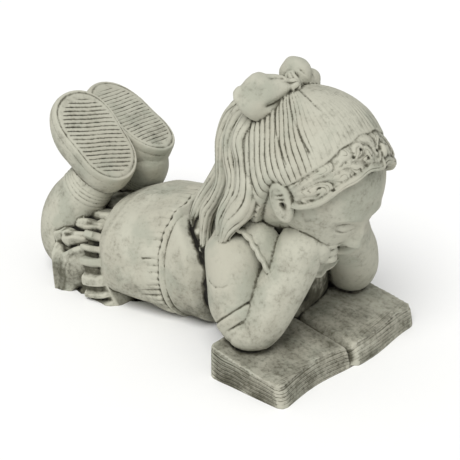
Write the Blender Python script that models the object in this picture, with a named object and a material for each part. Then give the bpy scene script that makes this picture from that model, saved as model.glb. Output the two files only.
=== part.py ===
"""Garden statue of a girl lying on her front and reading a book, cast in stone as one piece.

+X is the way she faces, +Y is her left, +Z is up. The book and the figure are shaped in a working
frame whose origin is at the middle of the book's front edge, and the finished casting is then moved
so that the origin is at the bottom centre of its box.
"""
import math

import bmesh
import bpy
import numpy as np
from mathutils import Vector

# Driving sizes, in metres. The figure's own form is written in five-hundredths of its length.
FIGURE_LENGTH = 0.500
BOOK_WIDTH = 0.262
BOOK_DEPTH = 0.114
BOOK_BACK_HEIGHT = 0.041
BOOK_FRONT_HEIGHT = 0.025
BOOK_GUTTER_DEPTH = 0.006
BOOK_BEVEL = 0.007
PAGE_LINE_PITCH = 0.006
PAGE_LINE_DEPTH = 0.0014
PAGE_LINE_WIDTH = 0.0020
SHOE_LENGTH = 0.139
SHOE_WIDTH = 0.083
SOLE_RIB_PITCH = 0.0066
SOLE_GROOVE_WIDTH = 0.0030
SOLE_GROOVE_DEPTH = 0.0022
SOLE_MARGIN = 0.0100

# Meshing of the casting.
VOXEL_SIZE = 0.0026
SMOOTHING_STEPS = 2
BODY_TRIANGLES = 7900
GROUND_BITE = 0.012

UNIT = FIGURE_LENGTH / 500


def pitched_frame(degrees):
    """Rows forward, left and up of something that looks down by an angle."""
    c, s = math.cos(math.radians(degrees)), math.sin(math.radians(degrees))
    return np.array([[c, 0.0, -s], [0.0, 1.0, 0.0], [s, 0.0, c]])


# The head is a ball; the hair follows one frame, and the face looks down a little further.
HEAD_CENTRE = np.array([-67.0, 0.0, 236.0])
HEAD_RADII = np.array([93.0, 79.0, 93.0])
HEAD_FRAME = pitched_frame(25)
FACE_RADII = np.array([88.0, 76.0, 90.0])
FACE_FRAME = pitched_frame(34)


def curve_through(rows, count):
    """Catmull-Rom curve through rows of any number of columns, as `count` rows."""
    rows = np.asarray(rows, float)
    padded = np.vstack([2 * rows[0] - rows[1], rows, 2 * rows[-1] - rows[-2]])
    spans = len(rows) - 1
    at = np.linspace(0, spans, count)
    i = np.minimum(at.astype(int), spans - 1)
    t = (at - i)[:, None]
    a, b, c, d = padded[i], padded[i + 1], padded[i + 2], padded[i + 3]
    return 0.5 * (2 * b + (c - a) * t + (2 * a - 5 * b + 4 * c - d) * t**2
                  + (3 * b - a - 3 * c + d) * t**3)


def unit_rows(rows):
    return rows / np.maximum(np.linalg.norm(rows, axis=1, keepdims=True), 1e-9)


def ring_faces(rings, around):
    """Quads between neighbouring rings, and a fan to a pole at each end."""
    faces = []
    for i in range(rings - 1):
        here, there = i * around, (i + 1) * around
        for j in range(around):
            k = (j + 1) % around
            faces.append((here + j, here + k, there + k, there + j))
    first, last = rings * around, rings * around + 1
    for j in range(around):
        k = (j + 1) % around
        faces.append((first, k, j))
        faces.append((last, (rings - 1) * around + j, (rings - 1) * around + k))
    return faces


def tube(stations, count=40, around=32, up=(0, 0, 1), carve=None, cap=1.0, square=1.0):
    """A closed limb, lock or body. A station is x, y, z, half width, half height and roll in degrees.

    carve(along, angle, points) gives how far each surface point moves outwards. A square below 1
    makes the section boxier.
    """
    rows = curve_through(stations, count)
    centres, half_wide, half_high = rows[:, :3], rows[:, 3], rows[:, 4]
    roll = np.radians(rows[:, 5]) if rows.shape[1] > 5 else np.zeros(count)
    along = unit_rows(np.gradient(centres, axis=0))
    side = unit_rows(np.cross(np.asarray(up, float), along))
    top = np.cross(along, side)
    side, top = (side * np.cos(roll)[:, None] + top * np.sin(roll)[:, None],
                 top * np.cos(roll)[:, None] - side * np.sin(roll)[:, None])
    # Rounded ends: a few more rings that close on the pole.
    swell = np.radians(np.array([22.0, 42.0, 60.0, 75.0]))
    first, last = 0, count - 1

    def end_rings(index, sign, order):
        reach = min(half_wide[index], half_high[index]) * cap
        return [(centres[index] + along[index] * sign * reach * math.sin(s), half_wide[index] * math.cos(s),
                 half_high[index] * math.cos(s), side[index], top[index]) for s in order]

    rings = end_rings(first, -1, swell[::-1])
    rings += [(centres[i], half_wide[i], half_high[i], side[i], top[i]) for i in range(count)]
    rings += end_rings(last, 1, swell)
    angle = np.linspace(0, 2 * math.pi, around, endpoint=False)
    wide, high = (np.sign(f) * np.abs(f) ** square for f in (np.cos(angle), np.sin(angle)))
    points = np.array([c + np.outer(wide * w, s) + np.outer(high * h, t) for c, w, h, s, t in rings])
    if carve is not None:
        outward = np.array([unit_rows(np.outer(wide / max(w, 1), s) + np.outer(high / max(h, 1), t))
                            for c, w, h, s, t in rings])
        u = np.clip((np.arange(len(rings)) - len(swell)) / (count - 1), 0, 1)
        grid_u, grid_angle = np.meshgrid(u, angle, indexing="ij")
        points = points + outward * carve(grid_u, grid_angle, points)[..., None]
    start = centres[first] - along[first] * min(half_wide[first], half_high[first]) * cap
    end = centres[last] + along[last] * min(half_wide[last], half_high[last]) * cap
    every = np.vstack([points.reshape(-1, 3), start, end])
    return every, ring_faces(len(rings), around)


def ball(centre, radii, frame=np.eye(3), detail=5, carve=None):
    """An ellipsoid. carve(directions) gives how far each point moves along its own direction."""
    bm = bmesh.new()
    bmesh.ops.create_icosphere(bm, subdivisions=detail, radius=1.0)
    directions = np.array([v.co for v in bm.verts])
    faces = [tuple(v.index for v in f.verts) for f in bm.faces]
    bm.free()
    local = directions * radii
    if carve is not None:
        local = local + directions * carve(directions)[:, None]
    return local @ frame + centre, faces


def bump(distance, radius):
    """1 at distance 0, falling smoothly to nearly 0 at the radius."""
    return np.exp(-(distance / radius) ** 2 * 2.5)


def step(x, low, high):
    t = np.clip((x - low) / (high - low), 0, 1)
    return t * t * (3 - 2 * t)


def mirrored(piece):
    """The piece on her other side, with its faces turned so that they still point out."""
    points, faces = piece
    return points * [1, -1, 1], [tuple(reversed(f)) for f in faces]


def on_head(forward, left, up):
    """A point of the head's own frame, in the working frame."""
    return HEAD_CENTRE + np.array([forward, left, up]) @ HEAD_FRAME


def book_top(x, y):
    """Height of the open pages, in metres: a wedge that rises to the back, swelling beside the gutter."""
    back = np.clip(-x / BOOK_DEPTH, 0, 1)
    across = np.abs(y) / (BOOK_WIDTH / 2)
    swell = 0.0035 * np.sin(math.pi * np.clip(across, 0, 1) ** 0.6)
    gutter = BOOK_GUTTER_DEPTH * np.exp(-(y / 0.0045) ** 2)
    return BOOK_FRONT_HEIGHT + (BOOK_BACK_HEIGHT - BOOK_FRONT_HEIGHT) * back + swell - gutter


def book_plan(u, v):
    """Where the book's outline grid lies on the ground: u runs from back to front, v from right to left."""
    # Rounded corners, loose wavering fore-edges, and a nick where the two halves part at the front.
    corner = np.clip(np.abs(u) - 0.86, 0, 1) * np.clip(np.abs(v) - 0.93, 0, 1)
    u_in = u - np.sign(u) * corner * 5.0
    v_in = v - np.sign(v) * corner * 2.2
    front = np.clip(u, 0, 1) ** 3
    y = v_in * BOOK_WIDTH / 2 * (1 + 0.03 * np.clip(v, 0, 1))
    x = (u_in - 1) * BOOK_DEPTH / 2
    x = x + front * (0.004 * np.sin(y / BOOK_WIDTH * 9.0 + 0.6) + 0.003 * (np.tanh(y / 0.004) + 1) / 2)
    x = x - front * 0.004 * np.exp(-(y / 0.004) ** 2)
    return x, y


def book():
    """The open book under her elbows, in units of the figure."""
    bm = bmesh.new()
    bmesh.ops.create_cube(bm, size=2.0)
    bmesh.ops.subdivide_edges(bm, edges=bm.edges[:], cuts=63, use_grid_fill=True)
    points = np.array([v.co for v in bm.verts])
    faces = [tuple(v.index for v in f.verts) for f in bm.faces]
    bm.free()
    x, y = book_plan(points[:, 0], points[:, 1])
    level = (points[:, 2] + 1) / 2
    # The fore-edges lean back towards the top.
    x = x - BOOK_BEVEL * level ** 2 * step(points[:, 0], 0.5, 1.0)
    z = -GROUND_BITE * (1 - level) + book_top(x, y) * level
    return np.stack([x, y, z], 1) / UNIT, faces


WAIST_X, HEM_X = -238.0, -328.0
FAR_LEG_LEAN = (9.0, -4.0, 0.0)
BODY_STATIONS = [
    (-336, 0, 58, 86, 68), (-328, 0, 60, 94, 75), (-304, 0, 63, 96, 82), (-272, 0, 69, 91, 83),
    (-240, 0, 76, 84, 83), (-205, 0, 82, 82, 84), (-175, 0, 91, 79, 83), (-150, 0, 99, 66, 80),
    (-128, 0, 106, 60, 72), (-108, 0, 112, 50, 58),
]


def crease_at(height):
    """Where the deep crease beside each sleeve lies: it runs back to the waist over her back."""
    return np.interp(height, (95, 120, 132, 141, 156), (-176, -189, -201, -212, -226))


def body_carving(along, angle, points):
    """Gathers behind the waist cord, the cord itself, and the deep crease beside each sleeve."""
    x, y, z = points[..., 0], points[..., 1], points[..., 2]
    behind = np.clip(WAIST_X - x, 0, None)
    fade = np.exp(-(behind / 24.0) ** 2) * (x < WAIST_X)
    gathers = 2.0 * fade * (np.cos(34 * angle + 1.6 * np.sin(3 * angle)) + 0.5 * np.cos(19 * angle + 1.0))
    long_folds = 1.2 * np.exp(-(behind / 55.0) ** 2) * (x < WAIST_X) * np.cos(17 * angle + 1.0 + x / 40)
    cord = 2.6 * bump(x - WAIST_X - 4, 3.5)
    cord = cord - 2.6 * bump(x - WAIST_X + 1, 4.0) - 2.0 * bump(x - WAIST_X - 9, 3.5)
    folds = 1.6 * np.cos(3 * angle + 0.06 * (x + 180)) * np.exp(-((x + 190) / 30.0) ** 2)
    # The skirt turns under where it nears the ground.
    tuck = -13.0 * step(34 - z, 0, 34) * step(np.abs(y), 28, 60) * bump(x + 300, 62)
    from_crease = x - crease_at(z)
    crease = -12.0 * bump(from_crease, 12) * step(np.abs(y), 15, 45)
    sunk = -6.0 * step(from_crease, -5, 7) * step(z, 100, 140)
    return gathers + long_folds + cord + folds + tuck + crease + sunk


def body():
    return tube(BODY_STATIONS, count=150, around=220, carve=body_carving, cap=0.08, square=0.92)


def frill():
    """The pleated ruffle around the skirt's hem."""
    def pleats(along, angle, points):
        # Across her back the ruffle is hidden in the crease behind the skirt.
        tucked = 12 * step(np.sin(angle), 0.60, 0.90)
        wave = np.tanh(2.2 * np.cos(24 * angle + 0.8 * np.sin(4 * angle)))
        wave = wave * (1 - tucked / 14) * step(1 - along, 0.0, 0.35)
        return (4.2 + 1.8 * along) * wave + 2.0 - tucked
    stations = [(-362, 0, 31, 95, 86), (-352, 0, 32, 93, 85), (-342, 0, 34, 90, 83), (-330, 0, 38, 86, 78)]
    return tube(stations, count=26, around=320, carve=pleats, cap=0.05, square=0.82)


def petticoat():
    """The loose, wide folds that show between the frill and the knees."""
    def folds(along, angle, points):
        rim = 1 - along
        wide = np.cos(14 * angle + 2.4 * np.sin(3 * angle) + 1.4 * np.sin(2 * angle) + 1.8 * along)
        hollow = -5.0 * step(-wide, 0.2, 0.9) * bump(along - 0.45, 0.36)
        return (2.6 + 3.0 * rim) * wide + hollow + 3.2 * np.exp(-(rim - 1) ** 2 * 40) + 1.0
    stations = [(-416, 0, 21, 93, 71), (-402, 0, 22, 93, 76), (-385, 0, 24, 89, 78), (-352, 0, 28, 80, 76)]
    return tube(stations, count=44, around=260, carve=folds, cap=0.12, square=0.58)


def leg(lean=(0, 0, 0)):
    """Her right leg from the thigh over the knee to the ankle, with the folded top of the sock."""
    stations = np.array([
        (-374, -46, 42, 40, 38), (-412, -51, 42, 39, 38), (-432, -54, 52, 37, 38),
        (-434, -52, 78, 37, 38), (-425, -49, 101, 37, 36), (-410, -43, 124, 33, 33),
        (-400, -37, 140, 31, 31), (-392, -32, 154, 28, 28),
    ], float)
    stations[:, :3] += np.clip((stations[:, 2:3] - 78) / 60, 0, 1) * lean

    def sock(along, angle, points):
        folds = np.cos(2 * math.pi * (along - 0.70) / 0.035)
        within = step(along, 0.69, 0.71) * (1 - step(along, 0.84, 0.87))
        return 1.1 * folds * within + 1.2 * step(along, 0.69, 0.71)
    return tube(stations, count=70, around=64, up=(0, 1, 0), carve=sock)


# Each shoe: the middle of its sole, the way its toe points and the way the sole faces.
RIGHT_SHOE = ((-388, -39, 207), (-0.759, -0.005, 0.651), (0.638, -0.209, 0.741))
LEFT_SHOE = ((-402, 40, 207.5), (-0.874, -0.101, 0.474), (0.470, 0.062, 0.880))
RIGHT_RIB_TURN, LEFT_RIB_TURN = math.radians(-23), math.radians(-4)


def shoe_frame(placing):
    """Rows of a shoe's own frame: towards the toe, across it, and out of the sole."""
    _, toe, out = (np.array(v, float) for v in placing)
    out = out / np.linalg.norm(out)
    toe = toe - out * (toe @ out)
    toe = toe / np.linalg.norm(toe)
    return np.array([toe, np.cross(out, toe), out])


def sole_half_width(s):
    """Half the sole's width at s, from -1 at the heel to 1 at the toe."""
    end = np.sqrt(np.clip(1 - np.abs(s) ** 3.0, 0, 1))
    return SHOE_WIDTH / 2 / UNIT * end * (0.96 + 0.06 * s - 0.04 * np.exp(-((s + 0.2) / 0.3) ** 2))


def shoe(placing):
    """A shoe: the sole's outline drawn back along its depth, with a welt."""
    half_length = SHOE_LENGTH / 2 / UNIT
    around = 96
    turn = np.linspace(0, 2 * math.pi, around, endpoint=False)
    s = np.cos(turn)
    outline = np.stack([s * half_length, np.sign(np.sin(turn)) * sole_half_width(s)], 1)
    # depth below the sole, share of the outline kept, and how far the toe is drawn in
    profile = [(0, 0.95, 0.0), (1.5, 0.99, 0.0), (5, 1.02, 0.0), (12, 1.035, 0.0), (20, 1.045, 0.03),
               (29, 1.03, 0.10), (38, 0.97, 0.20), (47, 0.84, 0.32), (56, 0.62, 0.45)]
    rings = []
    for depth, kept, drawn in profile:
        ring = outline * kept
        heel = outline[:, 0] * (1 - 0.35 * (1 - kept))
        ring[:, 0] = np.where(ring[:, 0] > 0, ring[:, 0] * (1 - drawn), heel)
        rings.append(np.column_stack([ring, np.full(around, -depth)]))
    poles = np.array([[0, 0, 0.0], [-half_length * 0.1, 0, -57.0]])
    points = np.vstack(rings + [poles])
    return points @ shoe_frame(placing) + np.array(placing[0]), ring_faces(len(rings), around)


RIGHT_ELBOW = np.array([0.0, 0.0, 0.0])
LEFT_ELBOW = np.array([-9.0, -19.0, 0.0])
LEFT_ELBOW_GIRTH = 1.07
CUFF_WAY = np.array([-0.685, 0.0, 0.729])


def towards_elbow(stations, elbow):
    """The stations, moved by the elbow's offset: in full at the elbow, not at all at the shoulder."""
    rows = np.array(stations, float)
    share = np.clip((150 - rows[:, 2]) / 80, 0, 1)
    rows[:, :3] += share[:, None] * elbow
    if elbow is LEFT_ELBOW:
        rows[:, 3:] *= 1 + share[:, None] * (LEFT_ELBOW_GIRTH - 1)
    return rows


def sleeve(elbow):
    """The right sleeve, from the shoulder to the band above the elbow."""
    stations = [(-128, -58, 142, 34, 36), (-116, -78, 138, 34, 37), (-107, -90, 114, 33, 36),
                (-100, -95, 88, 32, 32), (-90, -95, 66, 28, 28)]

    def cloth(along, angle, points):
        # The band's two seams lie in planes that rise towards the front.
        rise = (points - [elbow[0], 0, 0]) @ CUFF_WAY
        band = 1.6 * step(125 - rise, -1, 1) * step(rise - 110, -1, 1)
        grooves = -2.4 * (bump(rise - 125, 2.6) + bump(rise - 110, 2.6))
        folds = 1.5 * np.cos(2 * angle + 9 * along) * step(rise, 128, 150)
        return band + grooves + folds
    return tube(towards_elbow(stations, elbow), count=70, around=90, up=(0, 1, 0), carve=cloth, cap=0.6)


def forearm(elbow):
    """The bare right forearm, from the bent elbow up to the wrist under the jaw."""
    stations = [(-78, -88, 66, 32, 31), (-70, -82, 78, 31, 31), (-60, -69, 106, 30, 31),
                (-53, -53, 134, 29, 30), (-48, -40, 162, 28, 29)]
    bend = [(-92, -95, 66, 28, 27), (-84, -92, 63, 31, 29), (-76, -87, 65, 31, 29)]
    return [tube(towards_elbow(stations, elbow), count=50, around=48, up=(0, 1, 0)),
            tube(towards_elbow(bend, elbow), count=14, around=40)]


def hand():
    """The right hand: a loose fist under the jaw, its back to the front."""
    pieces = [ball((-41, -31, 161), (25, 22, 26))]
    for k in range(4):
        x = -20 - 1.5 * k
        z = 176 - 10.0 * k
        finger = [(x - 10, -37 + 2 * k, z + 1, 6.5, 6), (x, -30 + 2 * k, z, 6.5, 6),
                  (x + 1, -19 + 1.5 * k, z - 2, 6, 6), (x - 9, -12 + 1.5 * k, z - 4, 5.5, 5.5)]
        pieces.append(tube(finger, count=16, around=20))
    return pieces


def neck():
    """The neck, and the chest that closes the hollow between the forearms."""
    front = [(-112, 0, 152, 74, 38), (-108, 0, 110, 84, 33), (-109, 0, 60, 86, 27), (-110, 0, 10, 84, 24)]
    chest = tube(front, count=20, around=60, up=(1, 0, 0))
    return [chest, tube([(-128, 0, 140, 44, 40), (-112, 0, 172, 40, 38), (-92, 0, 205, 40, 42)],
                        count=20, around=48)]


def looped(half_loop, count):
    """A closed loop through points on her right side and their mirror images."""
    right = curve_through(half_loop, count // 2 + 1)
    left = right[-2:0:-1] * [1, -1, 1]
    return np.vstack([right, left])


def collar():
    """A flat collar laid over the shoulders, with a scalloped edge."""
    count = 360
    neckline = looped([(-132, 0, 196), (-118, -34, 196), (-92, -50, 186), (-68, -46, 164),
                       (-58, 0, 142)], count)
    edge = looped([(-160, 0, 184), (-142, -52, 186), (-116, -84, 181), (-90, -90, 176), (-70, -92, 160),
                   (-58, -80, 132), (-52, -40, 112), (-50, 0, 104)], count)
    away = unit_rows(edge - neckline)
    scallop = 2.8 * np.abs(np.cos(np.linspace(0, 26 * math.pi, count, endpoint=False)))
    edge = edge + away * (scallop - 1.4)[:, None]
    middle = (neckline + edge) / 2 + [0, 0, 4]
    below = np.array([0.0, 0.0, -14.0])
    rings = [neckline + below, neckline, middle, edge, edge + [0, 0, -4], (edge + neckline) / 2 + below]
    points = np.vstack(rings)
    faces = []
    for i in range(len(rings)):
        here, there = i * count, (i + 1) % len(rings) * count
        for j in range(count):
            k = (j + 1) % count
            faces.append((here + j, there + j, there + k, here + k))
    return points, faces


def face_relief(directions):
    """A calm, generic child's face, in the head's own frame: f forward, l left, h high."""
    f, l, h = (directions * FACE_RADII).T
    front = step(f, 8, 40)
    side = np.abs(l)

    def spot(at_side, at_height, wide, high):
        return np.exp(-((side - at_side) / wide) ** 2 - ((h - at_height) / high) ** 2)
    relief = -15 * np.exp(-((h + 62) / 34) ** 2) * step(side, 26, 66) * step(f, -40, 30)
    relief += 5 * spot(0, -66, 15, 12) + 4.5 * spot(31, -34, 19, 18)
    relief += -7 * spot(25, 3, 15, 10) + 5.5 * spot(25, 1, 10, 7.5)
    relief += -1.6 * np.exp(-((side - 25) / 9) ** 2 - ((h + 4 - 0.02 * (side - 25) ** 2) / 1.6) ** 2)
    relief += 3 * np.exp(-((side - 24) / 15) ** 2 - ((h - 19) / 5) ** 2)
    relief += 9 * np.exp(-(l / 5.5) ** 2 - ((h + 10) / 12) ** 2)
    relief += 13 * np.exp(-(l / 7.5) ** 2 - ((h + 22) / 7) ** 2)
    relief += 4.5 * spot(7.5, -25, 4, 4)
    relief += 4.5 * np.exp(-(l / 13) ** 2 - ((h + 42) / 4) ** 2)
    relief += 4.5 * np.exp(-(l / 11) ** 2 - ((h + 50.5) / 4) ** 2)
    relief += -3.4 * np.exp(-(l / 14) ** 2 - ((h + 46) / 1.5) ** 2)
    relief += -3.5 * np.exp(-(l / 10) ** 2 - ((h + 58) / 3.5) ** 2)
    return relief * front


def head():
    return ball(HEAD_CENTRE, FACE_RADII, FACE_FRAME, detail=6, carve=face_relief)


BOW_AT = np.array([-70.0, 0.0, 77.0])


def seam_angle(left):
    """Where the scalp's hair ends, round the ears' axis from the top, for a place so far left."""
    return np.radians(22.8 + 11.0 * (np.abs(left) / 70) ** 2)


def fringe_angle(left):
    return np.radians(49.0 + 29.0 * (np.abs(left) / 70) ** 3.2)


def hair_relief(directions):
    """Strands fanning from the bow to the seam, and in front of it the short curled fringe."""
    f, l, h = (directions * HEAD_RADII).T
    round_ears = np.arctan2(f, h)
    knot = BOW_AT / np.linalg.norm(BOW_AT)
    side = np.array([0.0, 1.0, 0.0])
    fan = np.arctan2(directions @ side, directions @ np.cross(side, knot))
    away = np.arccos(np.clip(directions @ knot, -1, 1))
    swept = fan + 0.16 * away * np.sign(fan) + 0.05 * np.sin(3 * fan + 2.0 * away)
    bold = 0.35 + 0.65 * step(np.abs(fan), 0.70, 1.15)
    strands = 1.7 * np.cos(42 * swept + 1.6 * np.sin(5 * fan)) * bold * step(away, 0.12, 0.35)
    seam = seam_angle(l)
    edge = fringe_angle(l) + 0.03 * np.cos(l / 3.6)
    down = np.clip((round_ears - seam) / (edge - seam), 0, 1)
    tufts = 1.6 * np.cos(l / 3.4 + 2.6 * np.sin(3.0 * down + l / 20)) + 1.2 * np.cos(l / 2.1 + 5 * down)
    tufts = tufts * (1 - 0.7 * step(down, 0.55, 0.75)) + 2.0 * bump(down - 0.88, 0.2)
    scalp_side = step(seam - round_ears, -0.02, 0.02)
    fringe_side = (1 - scalp_side) * step(edge - round_ears, 0.0, 0.03)
    # The ear and the nape stay bare.
    bare = np.exp(-((f - 16) / 19) ** 4 - ((h - 0) / 22) ** 4) * step(np.abs(l), 55, 64)
    nape = step(h, -72, -54) * step(8 - f + (h + 40) * 0.6, -6, 6)
    covered = (scalp_side * nape + fringe_side) * (1 - bare)
    scalp = 5.5 - 2.5 * step(round_ears - seam, -0.45, 0.0)
    height = scalp_side * (scalp + strands) + fringe_side * (2.8 + 3.2 * down + tufts) + 1.5
    height = height - 1.8 * bump(round_ears - seam, 0.028)
    return height * covered - 11.0 * (1 - covered)


def hair():
    return ball(HEAD_CENTRE, HEAD_RADII, HEAD_FRAME, detail=7, carve=hair_relief)


def curls():
    """Curls that stand out of the fringe, each a tapering comma."""
    pieces = []
    for k, left in enumerate((-66, -52, -38, -24, -10, 4, 18, 32, 46, 60)):
        turn = 1 if k % 2 else -1
        centre_angle = fringe_angle(left) - 0.14 - 0.08 * (k % 3)
        stations = []
        for t in np.linspace(0, 1, 9):
            swirl = turn * (0.4 + 4.2 * t)
            reach = 8.0 * (1 - 0.62 * t)
            l = left + reach * math.sin(swirl)
            a = centre_angle + reach * math.cos(swirl) / 95
            shrink = math.sqrt(max(0.05, 1 - (l / HEAD_RADII[1]) ** 2))
            r = HEAD_RADII[0] + 2.5 + 2.5 * t
            place = on_head(math.sin(a) * r * shrink, l * 1.06, math.cos(a) * r * shrink)
            stations.append((*place, 3.8 - 1.5 * t, 3.8 - 1.5 * t))
        pieces.append(tube(stations, count=22, around=14))
    return pieces


def forelock():
    """The two rolled curls that stand out at the front of the fringe."""
    pieces = []
    for left, middle, size in ((13, 37, 1.0), (6, 45, 0.85)):
        stations = []
        for t in np.linspace(0, 1, 10):
            swirl = 0.6 + 4.6 * t
            reach = size * 6.0 * (1 - 0.5 * t)
            a = math.radians(middle) + reach * math.cos(swirl) / 95
            r = HEAD_RADII[0] + 3.5 + reach * math.sin(swirl) * 0.6
            place = on_head(math.sin(a) * r, left + 3 * t, math.cos(a) * r)
            stations.append((*place, size * (4.4 - 1.2 * t), size * (4.4 - 1.2 * t)))
        pieces.append(tube(stations, count=26, around=14))
    return pieces


def ear():
    """The right ear: a raised rim round a bowl, with the hole below its middle."""
    size = np.array([15.0, 8.5, 25.0])

    def relief(directions):
        f, l, h = (directions * size).T
        q = np.hypot(f / size[0], h / size[2])
        bowl = 1.2 * bump(q - 0.84, 0.18) - 3.0 * (1 - step(q, 0.45, 0.72))
        hole = -4.5 * np.exp(-((f - 4.2) / 4.0) ** 2 - ((h + 4.5) / 4.5) ** 2)
        return (bowl + hole) * step(-l, 0, 3)
    return [ball((-50, -76, 228), size, pitched_frame(-19), detail=5, carve=relief)]


# Each lock: the way its flat face looks, then its stations.
RIGHT_LOCKS = [
    ((-0.35, -0.93, 0.1), [
        (-102, -12, 330, 10, 8), (-115, -32, 315, 11, 9), (-123, -48, 298, 11, 9), (-124, -60, 277, 12, 10),
        (-113, -67, 257, 13, 10), (-103, -75, 238, 15, 11), (-99, -81, 222, 16, 12), (-101, -86, 209, 16, 13),
        (-109, -91, 194, 13, 10), (-115, -95, 180, 9, 7), (-120, -99, 161, 3, 3)]),
    ((-0.7, -0.7, 0.1), [
        (-109, -8, 329, 10, 8), (-129, -26, 316, 12, 9), (-145, -38, 295, 12, 10), (-147, -50, 270, 12, 10),
        (-140, -57, 247, 12, 10), (-126, -67, 229, 12, 10), (-124, -75, 212, 11, 9), (-128, -83, 197, 8, 7),
        (-131, -88, 182, 6, 5), (-131, -91, 168, 3, 3)]),
    ((-0.8, -0.55, 0.15), [
        (-112, -4, 328, 9, 7), (-140, -18, 315, 10, 8), (-164, -28, 291, 11, 9), (-171, -38, 262, 10, 8),
        (-166, -45, 236, 9, 8), (-161, -51, 214, 9, 8), (-167, -55, 194, 9, 8), (-179, -57, 172, 9, 8),
        (-182, -59, 150, 8, 6), (-182, -60, 131, 6, 5), (-188, -58, 113, 3, 3)]),
]
BACK_LOCKS = [
    ((-1.0, 0.0, 0.1), [
        (-112, 0, 330, 12, 9), (-146, -4, 311, 18, 10), (-168, -10, 277, 20, 11), (-173, -16, 240, 19, 11),
        (-186, -24, 206, 15, 11), (-204, -38, 172, 9, 8), (-213, -44, 146, 5, 5), (-214, -40, 130, 3, 3)]),
    ((-1.0, 0.1, 0.1), [
        (-112, 6, 328, 12, 9), (-146, 18, 308, 18, 10), (-168, 22, 264, 20, 11), (-176, 20, 220, 18, 11),
        (-196, 14, 192, 13, 9), (-212, 8, 172, 9, 7), (-222, 6, 152, 3, 3)]),
    ((-1.0, 0.0, 0.1), [
        (-112, 0, 318, 28, 10), (-142, 0, 288, 42, 18), (-152, 0, 240, 46, 24), (-150, 0, 196, 42, 22),
        (-142, 0, 166, 30, 16)]),
]


def ponytail():
    def strands(along, angle, points):
        twist = 7 * angle + 4.0 * np.sin(5.0 * along + 0.6) + 1.6 * np.sin(11 * along + angle)
        return 1.3 * np.cos(twist) * step(along, 0.0, 0.1) + 0.8
    right = [tube(rows, count=80, around=56, up=way, carve=strands) for way, rows in RIGHT_LOCKS]
    back = [tube(rows, count=80, around=56, up=way, carve=strands) for way, rows in BACK_LOCKS]
    return right + back + [mirrored(piece) for piece in right]


def bow():
    """A tied bow at the crown: two puffed loops and the knot between them."""
    to_camera = np.array([0.598, -0.674, 0.434])
    to_right = np.array([0.748, 0.664, 0.0])
    to_top = np.array([-0.288, 0.324, 0.901])

    def creases(along, angle, points):
        towards_knot = np.exp(-(along / 0.30) ** 2)
        cuts = 0
        for middle, drift, begin, end, depth in ((1.30, -0.35, 0.08, 0.62, 4.0), (2.25, 0.2, 0.15, 0.5, 2.0)):
            turn = np.angle(np.exp(1j * (angle - middle - drift * along)))
            within = step(along, begin, begin + 0.1) * (1 - step(along, end - 0.2, end))
            cuts = cuts - depth * bump(turn, 0.25) * within
        return 1.6 * towards_knot * np.cos(6 * angle + 0.6) + cuts

    def dents(directions):
        a, c = directions @ to_right, directions @ to_top
        front = step(directions @ to_camera, 0.0, 0.4)
        dent = sum(bump(a * 0.6 + c * 0.8 - off, 0.16) * bump(a * 0.8 - c * 0.6 - 0.25, 0.45)
                   for off in (-0.25, 0.15))
        return -2.8 * dent * front
    near_loop = [(-90, -9, 337, 8, 7), (-94, -14, 334, 16, 10), (-99, -23, 331, 23, 14), (-105, -34, 328, 27, 17),
                 (-111, -45, 328, 28, 17), (-116, -54, 330, 25, 15), (-121, -61, 332, 18, 11),
                 (-124, -66, 334, 10, 6)]
    root = [(-98, 2, 336, 8, 8), (-101, 16, 334, 13, 11), (-99, 34, 327, 11, 10)]
    knot = [(-101, -3, 345, 6, 6), (-95, -4, 338, 8, 8), (-88, -3, 328, 6, 6)]
    return [tube(near_loop, count=60, around=90, up=to_camera, carve=creases),
            ball((-108, 16, 341), (20, 17, 20), carve=dents), ball((-104, 32, 329), (15, 18, 15), carve=dents),
            tube(root, count=16, around=30),
            tube(knot, count=20, around=40, up=(0, 1, 0), carve=lambda u, a, p: 1.0 * np.cos(7 * a))]


def every_piece():
    both = hand() + ear()
    arm, other_arm = [[sleeve(elbow)] + forearm(elbow) for elbow in (RIGHT_ELBOW, LEFT_ELBOW)]
    pieces = [book(), body(), frill(), petticoat(), collar(), head()] + neck()
    pieces += [hair()] + curls() + forelock() + ponytail() + bow() + both + arm
    pieces += [leg(), mirrored(leg(FAR_LEG_LEAN)), shoe(RIGHT_SHOE), shoe(LEFT_SHOE)]
    pieces += [mirrored(p) for p in both + other_arm]
    return pieces


def fused(name, pieces):
    """One mesh object holding every piece, still overlapping, in metres."""
    points, faces, start = [], [], 0
    for piece_points, piece_faces in pieces:
        points.append(np.asarray(piece_points) * UNIT)
        faces += [tuple(i + start for i in f) for f in piece_faces]
        start += len(piece_points)
    mesh = bpy.data.meshes.new(name)
    mesh.from_pydata(np.vstack(points).tolist(), [], faces)
    mesh.update()
    statue = bpy.data.objects.new(name, mesh)
    bpy.context.scene.collection.objects.link(statue)
    return statue


def apply_modifiers(statue):
    graph = bpy.context.evaluated_depsgraph_get()
    mesh = bpy.data.meshes.new_from_object(statue.evaluated_get(graph))
    statue.modifiers.clear()
    statue.data = mesh


def box_points(lows, highs):
    """Corners of a box, in the order that box_faces expects."""
    return [(x, y, z) for z in (lows[2], highs[2]) for x, y in (
        (lows[0], lows[1]), (highs[0], lows[1]), (highs[0], highs[1]), (lows[0], highs[1]))]


def box_faces(start):
    corners = ((3, 2, 1, 0), (4, 5, 6, 7), (0, 1, 5, 4), (1, 2, 6, 5), (2, 3, 7, 6), (3, 0, 4, 7))
    return [tuple(start + i for i in face) for face in corners]


def cutter(name, points, faces):
    mesh = bpy.data.meshes.new(name)
    mesh.from_pydata(np.asarray(points).tolist(), [], faces)
    mesh.update()
    tool = bpy.data.objects.new(name, mesh)
    bpy.context.scene.collection.objects.link(tool)
    tool.hide_render = True
    tool.display_type = "WIRE"
    return tool


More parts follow.
